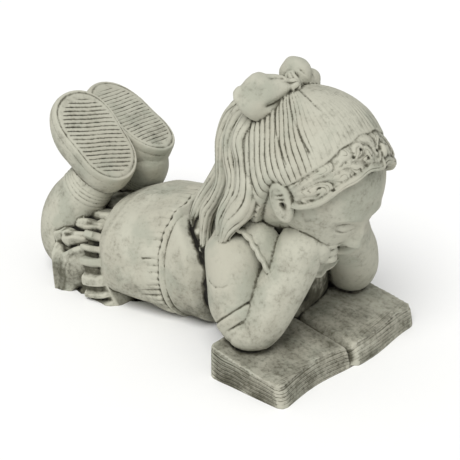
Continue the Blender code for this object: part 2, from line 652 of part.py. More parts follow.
def cut(statue, tool):
    """Take the tool's volume out of the statue, and drop the tool."""
    cutting = statue.modifiers.new("cut", "BOOLEAN")
    cutting.operation = "DIFFERENCE"
    cutting.solver = "EXACT"
    cutting.object = tool
    apply_modifiers(statue)
    bpy.data.objects.remove(tool)


def ground_tool():
    """Everything below the ground, so that the underside is one flat plane."""
    return cutter("ground", box_points((-0.7, -0.3, -0.1), (0.2, 0.3, 0.0)), box_faces(0))


def sole_rib_tool():
    """The grooves across both soles, inside a plain margin. They lie at a slant to the sole."""
    half = SHOE_LENGTH / 2
    reach = np.linspace(-SHOE_WIDTH, SHOE_WIDTH, 400)
    deep, wide = SOLE_GROOVE_DEPTH, SOLE_GROOVE_WIDTH / 2
    most = int(half / SOLE_RIB_PITCH)
    points, faces = [], []
    for placing, turn in ((RIGHT_SHOE, RIGHT_RIB_TURN), (LEFT_SHOE, LEFT_RIB_TURN)):
        c, s = math.cos(turn), math.sin(turn)
        for k in range(-most, most + 1):
            x, y = k * SOLE_RIB_PITCH * c - reach * s, k * SOLE_RIB_PITCH * s + reach * c
            inside = np.abs(y) < sole_half_width(x / half) * UNIT - SOLE_MARGIN
            inside &= np.abs(x) < half - SOLE_MARGIN
            if inside.sum() < 40:
                continue
            low, high = reach[inside].min(), reach[inside].max()
            groove = np.array(box_points((-wide, low, -deep), (wide, high, deep + 0.002)))
            groove[:, 0] += k * SOLE_RIB_PITCH
            local = groove @ np.array([[c, s, 0.0], [-s, c, 0.0], [0.0, 0.0, 1.0]])
            faces += box_faces(len(points))
            points += (local @ shoe_frame(placing) + np.array(placing[0]) * UNIT).tolist()
    return cutter("ribs", points, faces)


def page_line_tool():
    """Fine lines round the page block, between the leaves."""
    along_side = [-1.0, -0.96, -0.9, -0.86, 0.0, 0.5, 0.86, 0.92, 0.96, 1.0]
    along_front = [-0.98, -0.96, -0.93, -0.7, -0.4, -0.15, -0.03, 0.0, 0.03, 0.15, 0.4, 0.7, 0.93, 0.96, 0.98]
    outline = [(u, -1.0) for u in along_side] + [(1.0, v) for v in along_front]
    outline += [(u, 1.0) for u in reversed(along_side)] + [(-1.0, v) for v in (0.96, 0.93, 0.0, -0.93, -0.96)]
    u, v = np.array(outline).T
    x, y = book_plan(u, v)
    plan = np.stack([x, y], 1)
    tangent = unit_rows(np.roll(plan, -1, 0) - np.roll(plan, 1, 0))
    outward = np.stack([tangent[:, 1], -tangent[:, 0]], 1)
    points, faces = [], []
    lines = int(BOOK_BACK_HEIGHT / PAGE_LINE_PITCH) - 1
    for k in range(1, lines):
        z = k / lines * book_top(x, y) * 0.96 + 0.0006 * np.sin(x * 160 + y * 90 + k)
        start, count = len(points), len(plan)
        half = PAGE_LINE_WIDTH / 2
        for reach, lift in ((-PAGE_LINE_DEPTH, 0), (0.003, -2.2 * half), (0.003, 2.2 * half)):
            ring = plan + outward * reach
            points += np.column_stack([ring, z + lift]).tolist()
        for i in range(3):
            here, there = start + i * count, start + (i + 1) % 3 * count
            for j in range(count):
                n = (j + 1) % count
                faces.append((here + j, here + n, there + n, there + j))
    return cutter("page lines", points, faces)


def main():
    for old in list(bpy.data.objects):
        bpy.data.objects.remove(old)
    statue = fused("reading_girl", every_piece())
    remesh = statue.modifiers.new("fuse", "REMESH")
    remesh.mode = "VOXEL"
    remesh.voxel_size = VOXEL_SIZE
    smooth = statue.modifiers.new("soften", "SMOOTH")
    smooth.factor = 0.5
    smooth.iterations = SMOOTHING_STEPS
    apply_modifiers(statue)
    print("fused faces", len(statue.data.polygons))
    thin = statue.modifiers.new("thin", "DECIMATE")
    thin.ratio = BODY_TRIANGLES / (2 * len(statue.data.polygons))
    thin.use_collapse_triangulate = True
    apply_modifiers(statue)
    print("thinned faces", len(statue.data.polygons))
    for tool in (ground_tool(), sole_rib_tool(), page_line_tool()):
        cut(statue, tool)
    bm = bmesh.new()
    bm.from_mesh(statue.data)
    bmesh.ops.triangulate(bm, faces=bm.faces[:])
    corners = np.array([v.co for v in bm.verts])
    low, high = corners.min(0), corners.max(0)
    offset = Vector((-(low[0] + high[0]) / 2, -(low[1] + high[1]) / 2, -low[2]))
    bmesh.ops.translate(bm, verts=bm.verts[:], vec=offset)
    bm.to_mesh(statue.data)
    print("triangles", len(bm.faces), "size", np.round(high - low, 4), "moved", np.round(offset, 4))
    bm.free()
    return statue


main()
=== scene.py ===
import math

import bpy
import numpy as np
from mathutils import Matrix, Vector
from mathutils.bvhtree import BVHTree


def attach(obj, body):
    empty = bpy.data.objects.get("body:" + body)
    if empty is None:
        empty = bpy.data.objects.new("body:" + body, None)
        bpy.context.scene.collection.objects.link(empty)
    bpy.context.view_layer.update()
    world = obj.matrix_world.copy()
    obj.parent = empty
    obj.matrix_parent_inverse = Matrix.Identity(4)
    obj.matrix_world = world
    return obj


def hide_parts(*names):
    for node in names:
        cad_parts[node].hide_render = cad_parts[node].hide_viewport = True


# A girl lying on her front and reading a book, cast in stone and rubbed with a dark wash.
# The form is shaped in millimetres: x forward, y to her left, z up, from the middle of the book's
# front edge. It is then moved to where the frame has it.

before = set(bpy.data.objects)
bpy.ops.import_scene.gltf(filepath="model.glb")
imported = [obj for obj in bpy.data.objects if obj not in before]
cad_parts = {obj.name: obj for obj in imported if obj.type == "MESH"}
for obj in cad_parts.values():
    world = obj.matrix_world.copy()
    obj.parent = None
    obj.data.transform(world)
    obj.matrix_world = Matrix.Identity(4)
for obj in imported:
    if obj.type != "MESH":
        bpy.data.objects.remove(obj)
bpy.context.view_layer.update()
bpy.ops.object.select_all(action="DESELECT")
print("frame loaded")

casting = {"unit": 0.001, "bookFront": (0.2212, -0.0073, 0.0), "voxel": 0.00118, "softening": 1,
           "triangles": 196000, "node": "reading_girl", "body": "root", "slot": "cast_stone"}
forms = []


def pitched(degrees):
    # rows forward, left and up of something that looks down by an angle
    c, s = math.cos(math.radians(degrees)), math.sin(math.radians(degrees))
    return np.array([[c, 0.0, -s], [0.0, 1.0, 0.0], [s, 0.0, c]])


def curveThrough(rows, count):
    # a smooth curve through rows of any number of columns
    rows = np.asarray(rows, float)
    padded = np.vstack([2 * rows[0] - rows[1], rows, 2 * rows[-1] - rows[-2]])
    spans = len(rows) - 1
    at = np.linspace(0, spans, count)
    i = np.minimum(at.astype(int), spans - 1)
    t = (at - i)[:, None]
    a, b, c, d = padded[i], padded[i + 1], padded[i + 2], padded[i + 3]
    return 0.5 * (2 * b + (c - a) * t + (2 * a - 5 * b + 4 * c - d) * t**2
                  + (3 * b - a - 3 * c + d) * t**3)


def unitRows(rows):
    return rows / np.maximum(np.linalg.norm(rows, axis=1, keepdims=True), 1e-9)


def bump(distance, radius):
    return np.exp(-(distance / radius) ** 2 * 2.5)


def step(x, low, high):
    t = np.clip((x - low) / (high - low), 0, 1)
    return t * t * (3 - 2 * t)


def ridges(phase):
    # rounded ridges with a sharp groove between them, between -1 and 1
    return 2 * np.abs(np.sin(phase / 2)) ** 0.8 - 1


def pointsOf(shape):
    points = np.empty(len(shape.data.vertices) * 3)
    shape.data.vertices.foreach_get("co", points)
    return points.reshape(-1, 3)


def setPoints(shape, points):
    shape.data.vertices.foreach_set("co", np.ascontiguousarray(points, dtype=float).ravel())
    shape.data.update()


def addShape(name, points, faces):
    mesh = bpy.data.meshes.new(name)
    mesh.from_pydata(np.asarray(points).tolist(), [], faces)
    mesh.update()
    shape = bpy.data.objects.new(name, mesh)
    bpy.context.scene.collection.objects.link(shape)
    forms.append(shape)
    return shape


def setLines(shape, phase, share, inked=0.0):
    # drawn lines: one wherever the phase is a whole turn, as strong as its share, and ink put on directly,
    # which in places is painted shade
    count = len(shape.data.vertices)
    for name, values in (("linePhase", phase), ("lineShare", share), ("inked", inked)):
        layer = shape.data.attributes.new(name, "FLOAT", "POINT")
        values = np.broadcast_to(np.ravel(values), (count,))
        layer.data.foreach_set("value", values.astype(np.float32))


def ringFaces(rings, around):
    # quads between neighbouring rings, and a fan to a pole at each end
    faces = []
    for i in range(rings - 1):
        here, there = i * around, (i + 1) * around
        for j in range(around):
            k = (j + 1) % around
            faces.append((here + j, here + k, there + k, there + j))
    first, last = rings * around, rings * around + 1
    for j in range(around):
        k = (j + 1) % around
        faces.append((first, k, j))
        faces.append((last, (rings - 1) * around + j, (rings - 1) * around + k))
    return faces


def addTube(name, stations, count=60, around=48, up=(0, 0, 1), carve=None, cap=1.0, square=1.0, lines=None):
    # a limb, lock or body: a station is x, y, z, half width, half height and roll in degrees
    rows = curveThrough(stations, count)
    centres, halfWide, halfHigh = rows[:, :3], rows[:, 3], rows[:, 4]
    roll = np.radians(rows[:, 5]) if rows.shape[1] > 5 else np.zeros(count)
    along = unitRows(np.gradient(centres, axis=0))
    side = unitRows(np.cross(np.asarray(up, float), along))
    top = np.cross(along, side)
    side, top = (side * np.cos(roll)[:, None] + top * np.sin(roll)[:, None],
                 top * np.cos(roll)[:, None] - side * np.sin(roll)[:, None])
    swell = np.radians(np.array([15.0, 30.0, 45.0, 60.0, 75.0]))  # the rounded ends
    last = count - 1

    def endRings(index, sign, order):
        reach = min(halfWide[index], halfHigh[index]) * cap
        return [(centres[index] + along[index] * sign * reach * math.sin(s), halfWide[index] * math.cos(s),
                 halfHigh[index] * math.cos(s), side[index], top[index]) for s in order]

    rings = endRings(0, -1, swell[::-1])
    rings += [(centres[i], halfWide[i], halfHigh[i], side[i], top[i]) for i in range(count)]
    rings += endRings(last, 1, swell)
    angle = np.linspace(0, 2 * math.pi, around, endpoint=False)
    wide, high = (np.sign(f) * np.abs(f) ** square for f in (np.cos(angle), np.sin(angle)))
    points = np.array([c + np.outer(wide * w, s) + np.outer(high * h, t) for c, w, h, s, t in rings])
    u = np.clip((np.arange(len(rings)) - len(swell)) / last, 0, 1)
    gridU, gridAngle = np.meshgrid(u, angle, indexing="ij")
    if carve is not None:
        outward = np.array([unitRows(np.outer(wide / max(w, 1), s) + np.outer(high / max(h, 1), t))
                            for c, w, h, s, t in rings])
        carved = points + outward * carve(gridU, gridAngle, points)[..., None]
    else:
        carved = points
    start = centres[0] - along[0] * min(halfWide[0], halfHigh[0]) * cap
    end = centres[last] + along[last] * min(halfWide[last], halfHigh[last]) * cap
    shape = addShape(name, np.vstack([carved.reshape(-1, 3), start, end]), ringFaces(len(rings), around))
    if lines is not None:
        phase, share, inked = lines(gridU, gridAngle, points)
        whole = step(np.minimum(gridAngle, 2 * math.pi - gridAngle), 0.0, 0.12)
        ends = [0.0, 0.0]
        setLines(shape, np.append(phase, ends), np.append(share * whole, ends), np.append(inked, ends))
    return shape


def addBall(name, centre, radii, turned=np.eye(3), detail=5, carve=None, lines=None):
    # carve gives how far each point moves along its own direction
    bpy.ops.mesh.primitive_ico_sphere_add(subdivisions=detail, radius=1.0)
    shape = bpy.context.active_object
    shape.name = name
    directions = unitRows(pointsOf(shape))
    local = directions * radii
    if carve is not None:
        local = local + directions * carve(directions)[:, None]
    setPoints(shape, local @ turned + centre)
    if lines is not None:
        setLines(shape, *lines(directions))
    forms.append(shape)
    return shape


def mirror(shape):
    # over to her other side, with its faces turned so that they still point out
    setPoints(shape, pointsOf(shape) * [1, -1, 1])
    shape.data.flip_normals()


def copyAcross(shape):
    # the same form on her other side as well
    twin = bpy.data.objects.new(shape.name + "Left", shape.data.copy())
    bpy.context.scene.collection.objects.link(twin)
    mirror(twin)
    forms.append(twin)


book = {"width": 262, "depth": 114, "backHeight": 41, "frontHeight": 25, "gutter": 6.0, "gutterWidth": 4.5,
        "leaves": 9, "leafGroove": 0.9, "edgeWear": 3.5, "bevel": 7.0, "bite": 12, "divisions": 127}


def bookTop(x, y):
    back = np.clip(-x / book["depth"], 0, 1)
    across = np.clip(np.abs(y) / (book["width"] / 2), 0, 1)
    swell = 3.5 * np.sin(math.pi * across ** 0.6)
    gutter = book["gutter"] * np.exp(-(y / book["gutterWidth"]) ** 2)
    return book["frontHeight"] + (book["backHeight"] - book["frontHeight"]) * back + swell - gutter


def bookPlan(u, v):
    # rounded corners, loose wavering fore-edges and a nick where the halves part at the front
    corner = np.clip(np.abs(u) - 0.86, 0, 1) * np.clip(np.abs(v) - 0.93, 0, 1)
    uIn = u - np.sign(u) * corner * 5.0
    vIn = v - np.sign(v) * corner * 2.2
    front = np.clip(u, 0, 1) ** 3
    y = vIn * book["width"] / 2 * (1 + 0.03 * np.clip(v, 0, 1))
    x = (uIn - 1) * book["depth"] / 2
    x = x + front * (4 * np.sin(y / book["width"] * 9.0 + 0.6) + 3 * (np.tanh(y / 4) + 1) / 2)
    x = x - front * 4 * np.exp(-(y / 4) ** 2)
    return x, y


def addBook():
    bpy.ops.mesh.primitive_cube_add(size=2.0)
    shape = bpy.context.active_object
    shape.name = "openBook"
    bpy.ops.object.mode_set(mode="EDIT")
    bpy.ops.mesh.select_all(action="SELECT")
    bpy.ops.mesh.subdivide(number_cuts=book["divisions"])
    bpy.ops.object.mode_set(mode="OBJECT")
    u, v, w = pointsOf(shape).T
    # leaves: wavering grooves round the block, deepest in the near half
    onFront = (u > 0.999) & (np.abs(w) < 0.999)
    onSide = (np.abs(v) > 0.999) & (np.abs(w) < 0.999)
    level = (w + 1) / 2
    waver = 0.22 * np.sin(3.2 * u + 1.7 * v + 5 * level) + 0.06 * np.sin(9 * u + 6 * v)
    lifted = 0.55 * np.exp(-((u + 0.62) / 0.2) ** 2) * (v < 0)
    phase = (level * book["leaves"] + (waver + lifted) * 4 * level * (1 - level)) * 2 * math.pi
    groove = book["leafGroove"] * (0.35 - ridges(phase)) * 0.75
    worn = book["edgeWear"] * step(level, 0.8, 1.0) ** 2
    u = np.where(onFront, u - (groove * 0.7 + worn) / (book["depth"] / 2), u)
    v = np.where(onSide, v - np.sign(v) * (groove + worn * 0.6) / (book["width"] / 2), v)
    x, y = bookPlan(u, v)
    x = x - book["bevel"] * level ** 2 * step(u, 0.5, 1.0)
    top = bookTop(x, y)
    # the curled leaves near the front edge, and faint ripples of the page
    nearFront = step(x, -30, -4)
    loose = (x + 0.16 * np.abs(y)) * 1.25 + 1.5 * np.sin(y / 19)
    curled = 0.4 * ridges(loose) * nearFront
    curled = curled * (0.35 + 0.65 * step(np.abs(y), 8, 60))
    ripple = 0.5 * np.sin(y / 11 + x / 23) + 0.35 * np.sin(x / 6.5 - y / 31)
    upper = step(level, 0.9, 1.0)
    z = -book["bite"] * (1 - level) + top * level + upper * (curled + ripple - 1.2 * step(u, 0.93, 1.0))
    setPoints(shape, np.stack([x, y, z], 1))
    onTop = upper * (level > 0.999) > 0
    topShare = 0.35 * nearFront * (0.2 + 0.8 * step(np.abs(y), 8, 60))
    share = np.where(onTop, topShare, 0.8 * onSide + 0.5 * onFront)
    # the top of the book is inked a little darker all over, in a wavering pattern
    bookTopDarkening = 0.09 + 0.05 * np.sin(y / 17 + 2 * np.sin(x / 23)) * np.sin(x / 13 - y / 41)
    # painted shade: the side wall on her right is inked darker, most of all low down, with a touch on the
    # front face
    bookWallShade = 0.04 * onFront + onSide * (v < 0) * (0.06 + 0.32 * step(1 - level, 0.35, 0.95))
    setLines(shape, np.where(onTop, loose, phase), share, np.where(onTop, bookTopDarkening, bookWallShade))
    forms.append(shape)


dress = {"waist": -238, "hem": -328, "gathers": 1.9, "cord": 2.6, "pleats": 28, "pleatDepth": 5.2}
bodyStations = [
    (-336, 0, 58, 86, 68), (-328, 0, 60, 94, 75), (-304, 0, 63, 96, 82), (-272, 0, 69, 91, 83),
    (-240, 0, 76, 84, 83), (-205, 0, 82, 82, 84), (-175, 0, 91, 79, 83), (-150, 0, 99, 64, 80),
    (-128, 0, 106, 58, 72), (-108, 0, 112, 50, 58)]


def creaseAt(height):
    # the deep crease beside each sleeve, which runs back to the waist over her back
    return np.interp(height, (95, 120, 132, 141, 156), (-177, -190, -202, -216, -230))


def gatherPhase(angle):
    return 60 * angle + 3.0 * np.sin(4 * angle)


def pastWaist(x, angle):
    # how far forward of the waistband's cord, which wanders a little
    return x - dress["waist"] - 2.2 * np.sin(2 * angle)


def pocketSlit(x, y, z, depth, width):
    # the short slit below the waistband on her right side
    within = step(x, -266, -262) * (1 - step(x, -246, -242)) * (y < 0)
    return depth * bump(z - 93 - 0.3 * (x + 250), width) * within


def bodyCarving(along, angle, points):
    x, y, z = np.moveaxis(points, -1, 0)
    waist, hem = dress["waist"], dress["hem"]
    behind = np.clip(waist - x, 0, None)
    uneven = 0.6 + 0.4 * np.sin(11 * angle + 1.3) * np.sin(4 * angle)
    fade = np.exp(-(behind / (9.0 + 12.0 * uneven)) ** 2) * (x < waist)
    gathers = dress["gathers"] * fade * uneven * ridges(gatherPhase(angle))
    streaks = 0.2 * np.cos(83 * angle + 3 * np.sin(x / 11) + 2 * np.sin(5 * angle)) * step(waist - x, 4, 14)
    longFolds = 1.2 * np.exp(-(behind / 55.0) ** 2) * (x < waist) * np.cos(17 * angle + 1.0 + x / 40)
    drape = 0.7 * np.sin(7 * angle + x / 29) * step(waist - x, 10, 40)
    rolled = 1.6 * bump(x - hem - 3, 10)
    rise = pastWaist(x, angle)
    cord = dress["cord"] * bump(rise - 3, 3.4) - 1.9 * bump(rise + 2.2, 2.2) - 1.7 * bump(rise - 8.5, 2.2)
    folds = 1.6 * np.cos(3 * angle + 0.06 * (x + 180)) * np.exp(-((x + 190) / 30.0) ** 2)
    slit = pocketSlit(x, y, z, -1.6, 1.6)
    # the skirt turns under where it nears the ground
    tuck = -13.0 * step(34 - z, 0, 34) * step(np.abs(y), 28, 60) * bump(x + 300, 62)
    # the deep creases beside each sleeve and behind the waist
    fromCrease = x - creaseAt(z)
    crease = -12.5 * bump(fromCrease, 14) * step(np.abs(y), 15, 45)
    sunk = -6.0 * step(fromCrease, -5, 7) * step(z, 100, 140)
    return gathers + streaks + longFolds + drape + rolled + cord + folds + slit + tuck + crease + sunk


def bodyLines(along, angle, points):
    x, y, z = np.moveaxis(points, -1, 0)
    waist = dress["waist"]
    uneven = 0.5 + 0.5 * np.sin(11 * angle + 1.3) * np.sin(4 * angle)
    behind = np.clip(waist - x, 0, None)
    fade = np.exp(-(behind / (8.0 + 22.0 * uneven)) ** 2) * (x < waist)
    rise = pastWaist(x, angle)
    cord = 0.32 * bump(rise + 1.4, 1.3) + 0.42 * bump(rise - 8.0, 1.3)
    slit = pocketSlit(x, y, z, 0.8, 1.3)
    fromCrease = x - creaseAt(z)
    # painted shade, with wash: the crevice beside each sleeve and over her back is inked nearly black
    dark = 2.6 * step(fromCrease, -5, 0) * (1 - 0.85 * step(fromCrease, 8, 26))
    return gatherPhase(angle), 0.22 * fade * uneven, cord + slit + dark


def pleatWave(angle):
    return np.cos(dress["pleats"] * angle + 1.5 * np.sin(4 * angle) + 0.8 * np.sin(9 * angle + 1))


def pleating(along, angle, points):
    wave = np.tanh(3.0 * pleatWave(angle))
    depth = dress["pleatDepth"] + 2.0 * np.sin(5 * angle + 1)
    # the ruffle is hidden in the crease on her back
    tucked = 12 * step(np.sin(angle), 0.60, 0.90)
    return depth * wave * step(1 - along, 0.0, 0.30) * (1 - tucked / 14) + 2.2 - tucked


def pleatLines(along, angle, points):
    # painted shade, with wash, inked dark between the pleats
    return 0 * angle, 0 * angle, step(-pleatWave(angle), 0.1, 0.6) * step(1 - along, 0.0, 0.5)


def petticoatWave(along, angle):
    bend = 0.9 * np.sin(2 * angle) + 1.2 * along
    return 15 * angle + 2.4 * np.sin(3 * angle) + bend * 1.5 + 1.2 * np.sin(6 * along + 5 * angle)


def petticoatFolds(along, angle, points):
    rim = 1 - along
    wide = ridges(petticoatWave(along, angle))
    small = np.cos(31 * angle + 4.0 * along + 2 * np.sin(5 * angle))
    hollow = -8.0 * step(-wide, -0.1, 0.8) * bump(along - 0.45, 0.36)
    dented = 1.6 * np.sin(11 * angle + 9 * along) * np.sin(13 * along + 6 * angle)
    return (3.2 + 2.8 * rim) * wide + 0.9 * small + hollow + dented + 2.6 * np.exp(-(rim - 1) ** 2 * 60) + 0.5


def petticoatLines(along, angle, points):
    wide = ridges(petticoatWave(along, angle))
    # painted shade, with wash: the deep hollows of the folds are inked dark and the whole petticoat a little
    # darker, with some mottling
    hollow = 0.95 * step(-wide, -0.3, 0.8) * bump(along - 0.45, 0.46)
    mottled = 0.2 * np.sin(9 * angle + 5 * along) * np.sin(17 * along + 4 * angle)
    inked = 0.85 * hollow + mottled + 0.27 - 0.2 * bump(along, 0.08)
    return petticoatWave(along, angle), 0.5 * step(along, 0.05, 0.2), inked


def addDress():
    addTube("dress", bodyStations, count=230, around=420, carve=bodyCarving, cap=0.08, square=0.92,
            lines=bodyLines)
    frill = [(-364, 0, 31, 94, 86), (-354, 0, 32, 93, 85), (-342, 0, 34, 90, 83), (-330, 0, 38, 86, 78)]
    addTube("frill", frill, count=40, around=560, carve=pleating, cap=0.05, square=0.82, lines=pleatLines)
    lower = [(-416, 0, 21, 94, 71), (-402, 0, 22, 93, 76), (-385, 0, 24, 89, 78), (-352, 0, 28, 80, 76)]
    addTube("petticoat", lower, count=80, around=460, carve=petticoatFolds, cap=0.12, square=0.52,
            lines=petticoatLines)


legStations = [
    (-374, -46, 42, 40, 38), (-412, -51, 42, 39, 38), (-432, -54, 52, 37, 38), (-434, -52, 78, 37, 38),
    (-425, -49, 101, 37, 36), (-410, -43, 124, 33, 33), (-400, -37, 140, 31, 31), (-392, -32, 154, 28, 28)]
sock = {"rings": (0.73, 0.765, 0.80, 0.835), "top": 0.71, "farLean": (14, 7, 0)}


def sockRings(along, angle, width):
    return sum(bump(along - at - 0.010 * np.sin(angle * 2 + at * 9), width) for at in sock["rings"])


def sockFolds(along, angle, points):
    return 1.2 * step(along, sock["top"] - 0.01, sock["top"] + 0.01) - 1.1 * sockRings(along, angle, 0.012)


def sockLines(along, angle, points):
    x, z = points[..., 0], points[..., 2]
    # painted shade: the calf is inked darker on its outer side and where it comes out of the petticoat
    darkened = 0.32 * step(-x, 420, 462) + 0.3 * bump(x + 385, 14) * (1 - step(z, 60, 110))
    return 0 * angle, 0 * angle, 0.42 * sockRings(along, angle, 0.008) + darkened


def addLegs():
    # the far leg leans a little more forward to its shoe
    settings = {"count": 160, "around": 110, "up": (0, 1, 0), "carve": sockFolds, "lines": sockLines}
    addTube("leg", legStations, **settings)
    farStations = np.array(legStations, float) * [1, -1, 1, 1, 1]
    farStations[:, :3] += np.clip((farStations[:, 2:3] - 78) / 60, 0, 1) * sock["farLean"]
    addTube("farLeg", farStations, **settings)


# the middle of each sole, the way its toe points and the way the sole faces
shoe = {"length": 139, "width": 83, "ribPitch": 5.8, "ribDepth": 1.7, "margin": 7.0, "rim": 3.0,
        "ribTurn": {"right": -23, "left": -4}, "stain": {"right": 0.5, "left": 1.4},
        "right": ((-388, -39, 207), (-0.759, -0.005, 0.651), (0.638, -0.209, 0.741)),
        "left": ((-402, 40, 207.5), (-0.874, -0.101, 0.474), (0.470, 0.062, 0.880))}


def shoeFrame(placing):
    toe, out = np.array(placing[1], float), np.array(placing[2], float)
    out = out / np.linalg.norm(out)
    toe = toe - out * (toe @ out)
    toe = toe / np.linalg.norm(toe)
    return np.array([toe, np.cross(out, toe), out])


def soleHalfWidth(s):
    end = np.sqrt(np.clip(1 - np.abs(s) ** 3.0, 0, 1))
    return shoe["width"] / 2 * end * (0.96 + 0.06 * s - 0.04 * np.exp(-((s + 0.2) / 0.3) ** 2))


def addShoe(which):
    placing, half, around = shoe[which], shoe["length"] / 2, 300
    ribTurn = math.radians(shoe["ribTurn"][which])
    turn = np.linspace(0, 2 * math.pi, around, endpoint=False)
    s = np.cos(turn)
    outline = np.stack([s * half, np.sign(np.sin(turn)) * soleHalfWidth(s)], 1)
    rings, phases, shares, inks = [], [], [], []
    # the sole's own face, with ribs inside a plain margin and an engraved rim
    for share in np.linspace(0.03, 0.97, 68):
        ring = outline * share
        x, y = ring.T
        inside = 1 - share
        edge = np.minimum(soleHalfWidth(x / half) - np.abs(y), (1 - np.abs(x) / half) * half)
        edge = np.minimum(edge, inside * shoe["width"] / 2)
        wobble = 0.4 * np.sin(y / 9 + x / 14)
        across = x * math.cos(ribTurn) + y * math.sin(ribTurn) + wobble
        rib = ridges(across / shoe["ribPitch"] * 2 * math.pi)
        margin = shoe["margin"] + 2.0 * step(x / half, 0.0, 0.8)
        within = step(edge, margin - 1, margin + 1)
        depth = shoe["ribDepth"] * (0.3 - 0.7 * rib) * within + 1.3 * bump(edge - shoe["rim"], 1.8)
        rings.append(np.column_stack([ring, -depth]))
        phases.append(across / shoe["ribPitch"] * 2 * math.pi)
        shares.append(1.2 * within)
        darkened = 0.16 * step(-x / half, -0.1, 0.8) * within * shoe["stain"][which]
        inks.append(0.55 * bump(edge - shoe["rim"], 1.1) * (share > 0.5) + darkened)
    # depth below the sole, share of the outline kept, and how far the toe is drawn in
    profile = curveThrough([(0.8, 0.98, 0.0), (2.5, 1.0, 0.0), (6, 1.02, 0.0), (12, 1.035, 0.0),
                            (20, 1.045, 0.03), (29, 1.03, 0.10), (38, 0.97, 0.20), (47, 0.84, 0.32),
                            (56, 0.62, 0.45)], 64)
    for depth, kept, drawn in profile:
        welt = -0.014 * bump(depth - 10.5, 1.6)
        ring = outline * (kept + welt)
        heel = outline[:, 0] * (1 - 0.35 * (1 - kept) + welt)
        ring[:, 0] = np.where(ring[:, 0] > 0, ring[:, 0] * (1 - drawn), heel)
        rings.append(np.column_stack([ring, np.full(around, -depth)]))
        phases.append(0 * s)
        shares.append(0 * s)
        # a line at the welt, and painted shade: the upper below it is inked darker than the sole
        inks.append(0.3 * bump(depth - 10.5, 1.0) + 0.34 * step(depth, 12, 38) + 0 * s)
    poles = np.array([[0, 0, -0.5], [-half * 0.1, 0, -57.0]])
    points = np.vstack(rings + [poles])
    shape = addShape(which + "Shoe", points @ shoeFrame(placing) + np.array(placing[0]),
                     ringFaces(len(rings), around))
    ends = [0.0, 0.0]
    setLines(shape, np.append(phases, ends), np.append(shares, ends), np.append(inks, ends))


arm = {"rightElbow": (0, 0, 0), "leftElbow": (-9, -19, 0), "leftGirth": 1.07,
       "cuffWay": (-0.685, 0.0, 0.729), "cuffLow": 110, "cuffHigh": 125}
sleeveStations = [(-128, -58, 142, 34, 36), (-116, -78, 138, 34, 37), (-107, -90, 114, 33, 36),
                  (-100, -95, 88, 32, 32), (-90, -95, 66, 28, 28)]
forearmStations = [(-78, -88, 66, 32, 31), (-70, -82, 78, 31, 31), (-60, -69, 106, 30, 31),
                   (-53, -53, 134, 29, 30), (-48, -40, 162, 28, 29)]
bendStations = [(-92, -95, 66, 28, 27), (-84, -92, 63, 31, 29), (-76, -87, 65, 31, 29)]


def addArm(which):
    elbow = np.array(arm[which + "Elbow"], float)
    girth = arm["leftGirth"] if which == "left" else 1.0

    def towardsElbow(stations):
        rows = np.array(stations, float)
        share = np.clip((150 - rows[:, 2]) / 80, 0, 1)
        rows[:, :3] += share[:, None] * elbow
        rows[:, 3:] *= 1 + share[:, None] * (girth - 1)
        return rows

    def pastCuff(points):
        return (points - [elbow[0], 0, 0]) @ np.array(arm["cuffWay"])

    def cloth(along, angle, points):
        rise = pastCuff(points)
        low, high = arm["cuffLow"], arm["cuffHigh"]
        band = 1.4 * step(high - rise, -1, 1) * step(rise - low, -1, 1)
        seams = -2.8 * (bump(rise - high, 2.2) + bump(rise - low, 2.2))
        folds = 1.3 * np.cos(2 * angle + 9 * along) * step(rise, 128, 150)
        # one soft crease that sags across the front of the sleeve
        x, y, z = np.moveaxis(points, -1, 0)
        sag = z - 119.5 - 0.020 * (x + 108) ** 2
        crease = -1.7 * bump(sag, 2.4) * step(x, -128, -120) * (1 - step(x, -96, -88))
        return band + seams + folds + crease * (y < -95)

    def seamLines(along, angle, points):
        rise = pastCuff(points)
        inked = 0.9 * (bump(rise - arm["cuffHigh"], 1.2) + bump(rise - arm["cuffLow"], 1.2))
        return 0 * angle, 0 * angle, inked

    shapes = [addTube(which + "Sleeve", towardsElbow(sleeveStations), count=120, around=180, up=(0, 1, 0),
                      carve=cloth, cap=0.6, lines=seamLines),
              addTube(which + "Forearm", towardsElbow(forearmStations), count=80, around=96, up=(0, 1, 0)),
              addTube(which + "Bend", towardsElbow(bendStations), count=30, around=80)]
    if which == "left":
        for shape in shapes:
            mirror(shape)


def addHands():
    # loose fists under the jaw, their backs to the front
    copyAcross(addBall("palm", (-41, -31, 161), (25, 22, 26)))
    for k in range(4):
        x, z = -20 - 1.5 * k, 176 - 10.0 * k
        finger = [(x - 10, -37 + 2 * k, z + 1, 6.5, 6), (x + 0, -30 + 2 * k, z, 6.5, 6),
                  (x + 1, -19 + 1.5 * k, z - 2, 6, 6), (x - 9, -12 + 1.5 * k, z - 4, 5.5, 5.5)]
        copyAcross(addTube("finger", finger, count=30, around=32))


def addNeck():
    # the chest closes the hollow between the forearms, and is inked dark all over as painted shade
    chest = [(-112, 0, 152, 74, 38), (-108, 0, 110, 84, 33), (-109, 0, 60, 86, 27), (-110, 0, 10, 84, 24)]
    addTube("chest", chest, count=30, around=90, up=(1, 0, 0),
            lines=lambda along, angle, points: (0 * along, 0 * along, 0.75 + 0 * along))
    addTube("neck", [(-128, 0, 140, 44, 40), (-112, 0, 172, 40, 38), (-92, 0, 205, 40, 42)], around=80)


collar = {"count": 520, "scallops": 24, "scallop": 2.4, "rim": 1.1}


def looped(halfLoop, count):
    right = curveThrough(halfLoop, count // 2 + 1)
    left = right[-2:0:-1] * [1, -1, 1]
    return np.vstack([right, left])


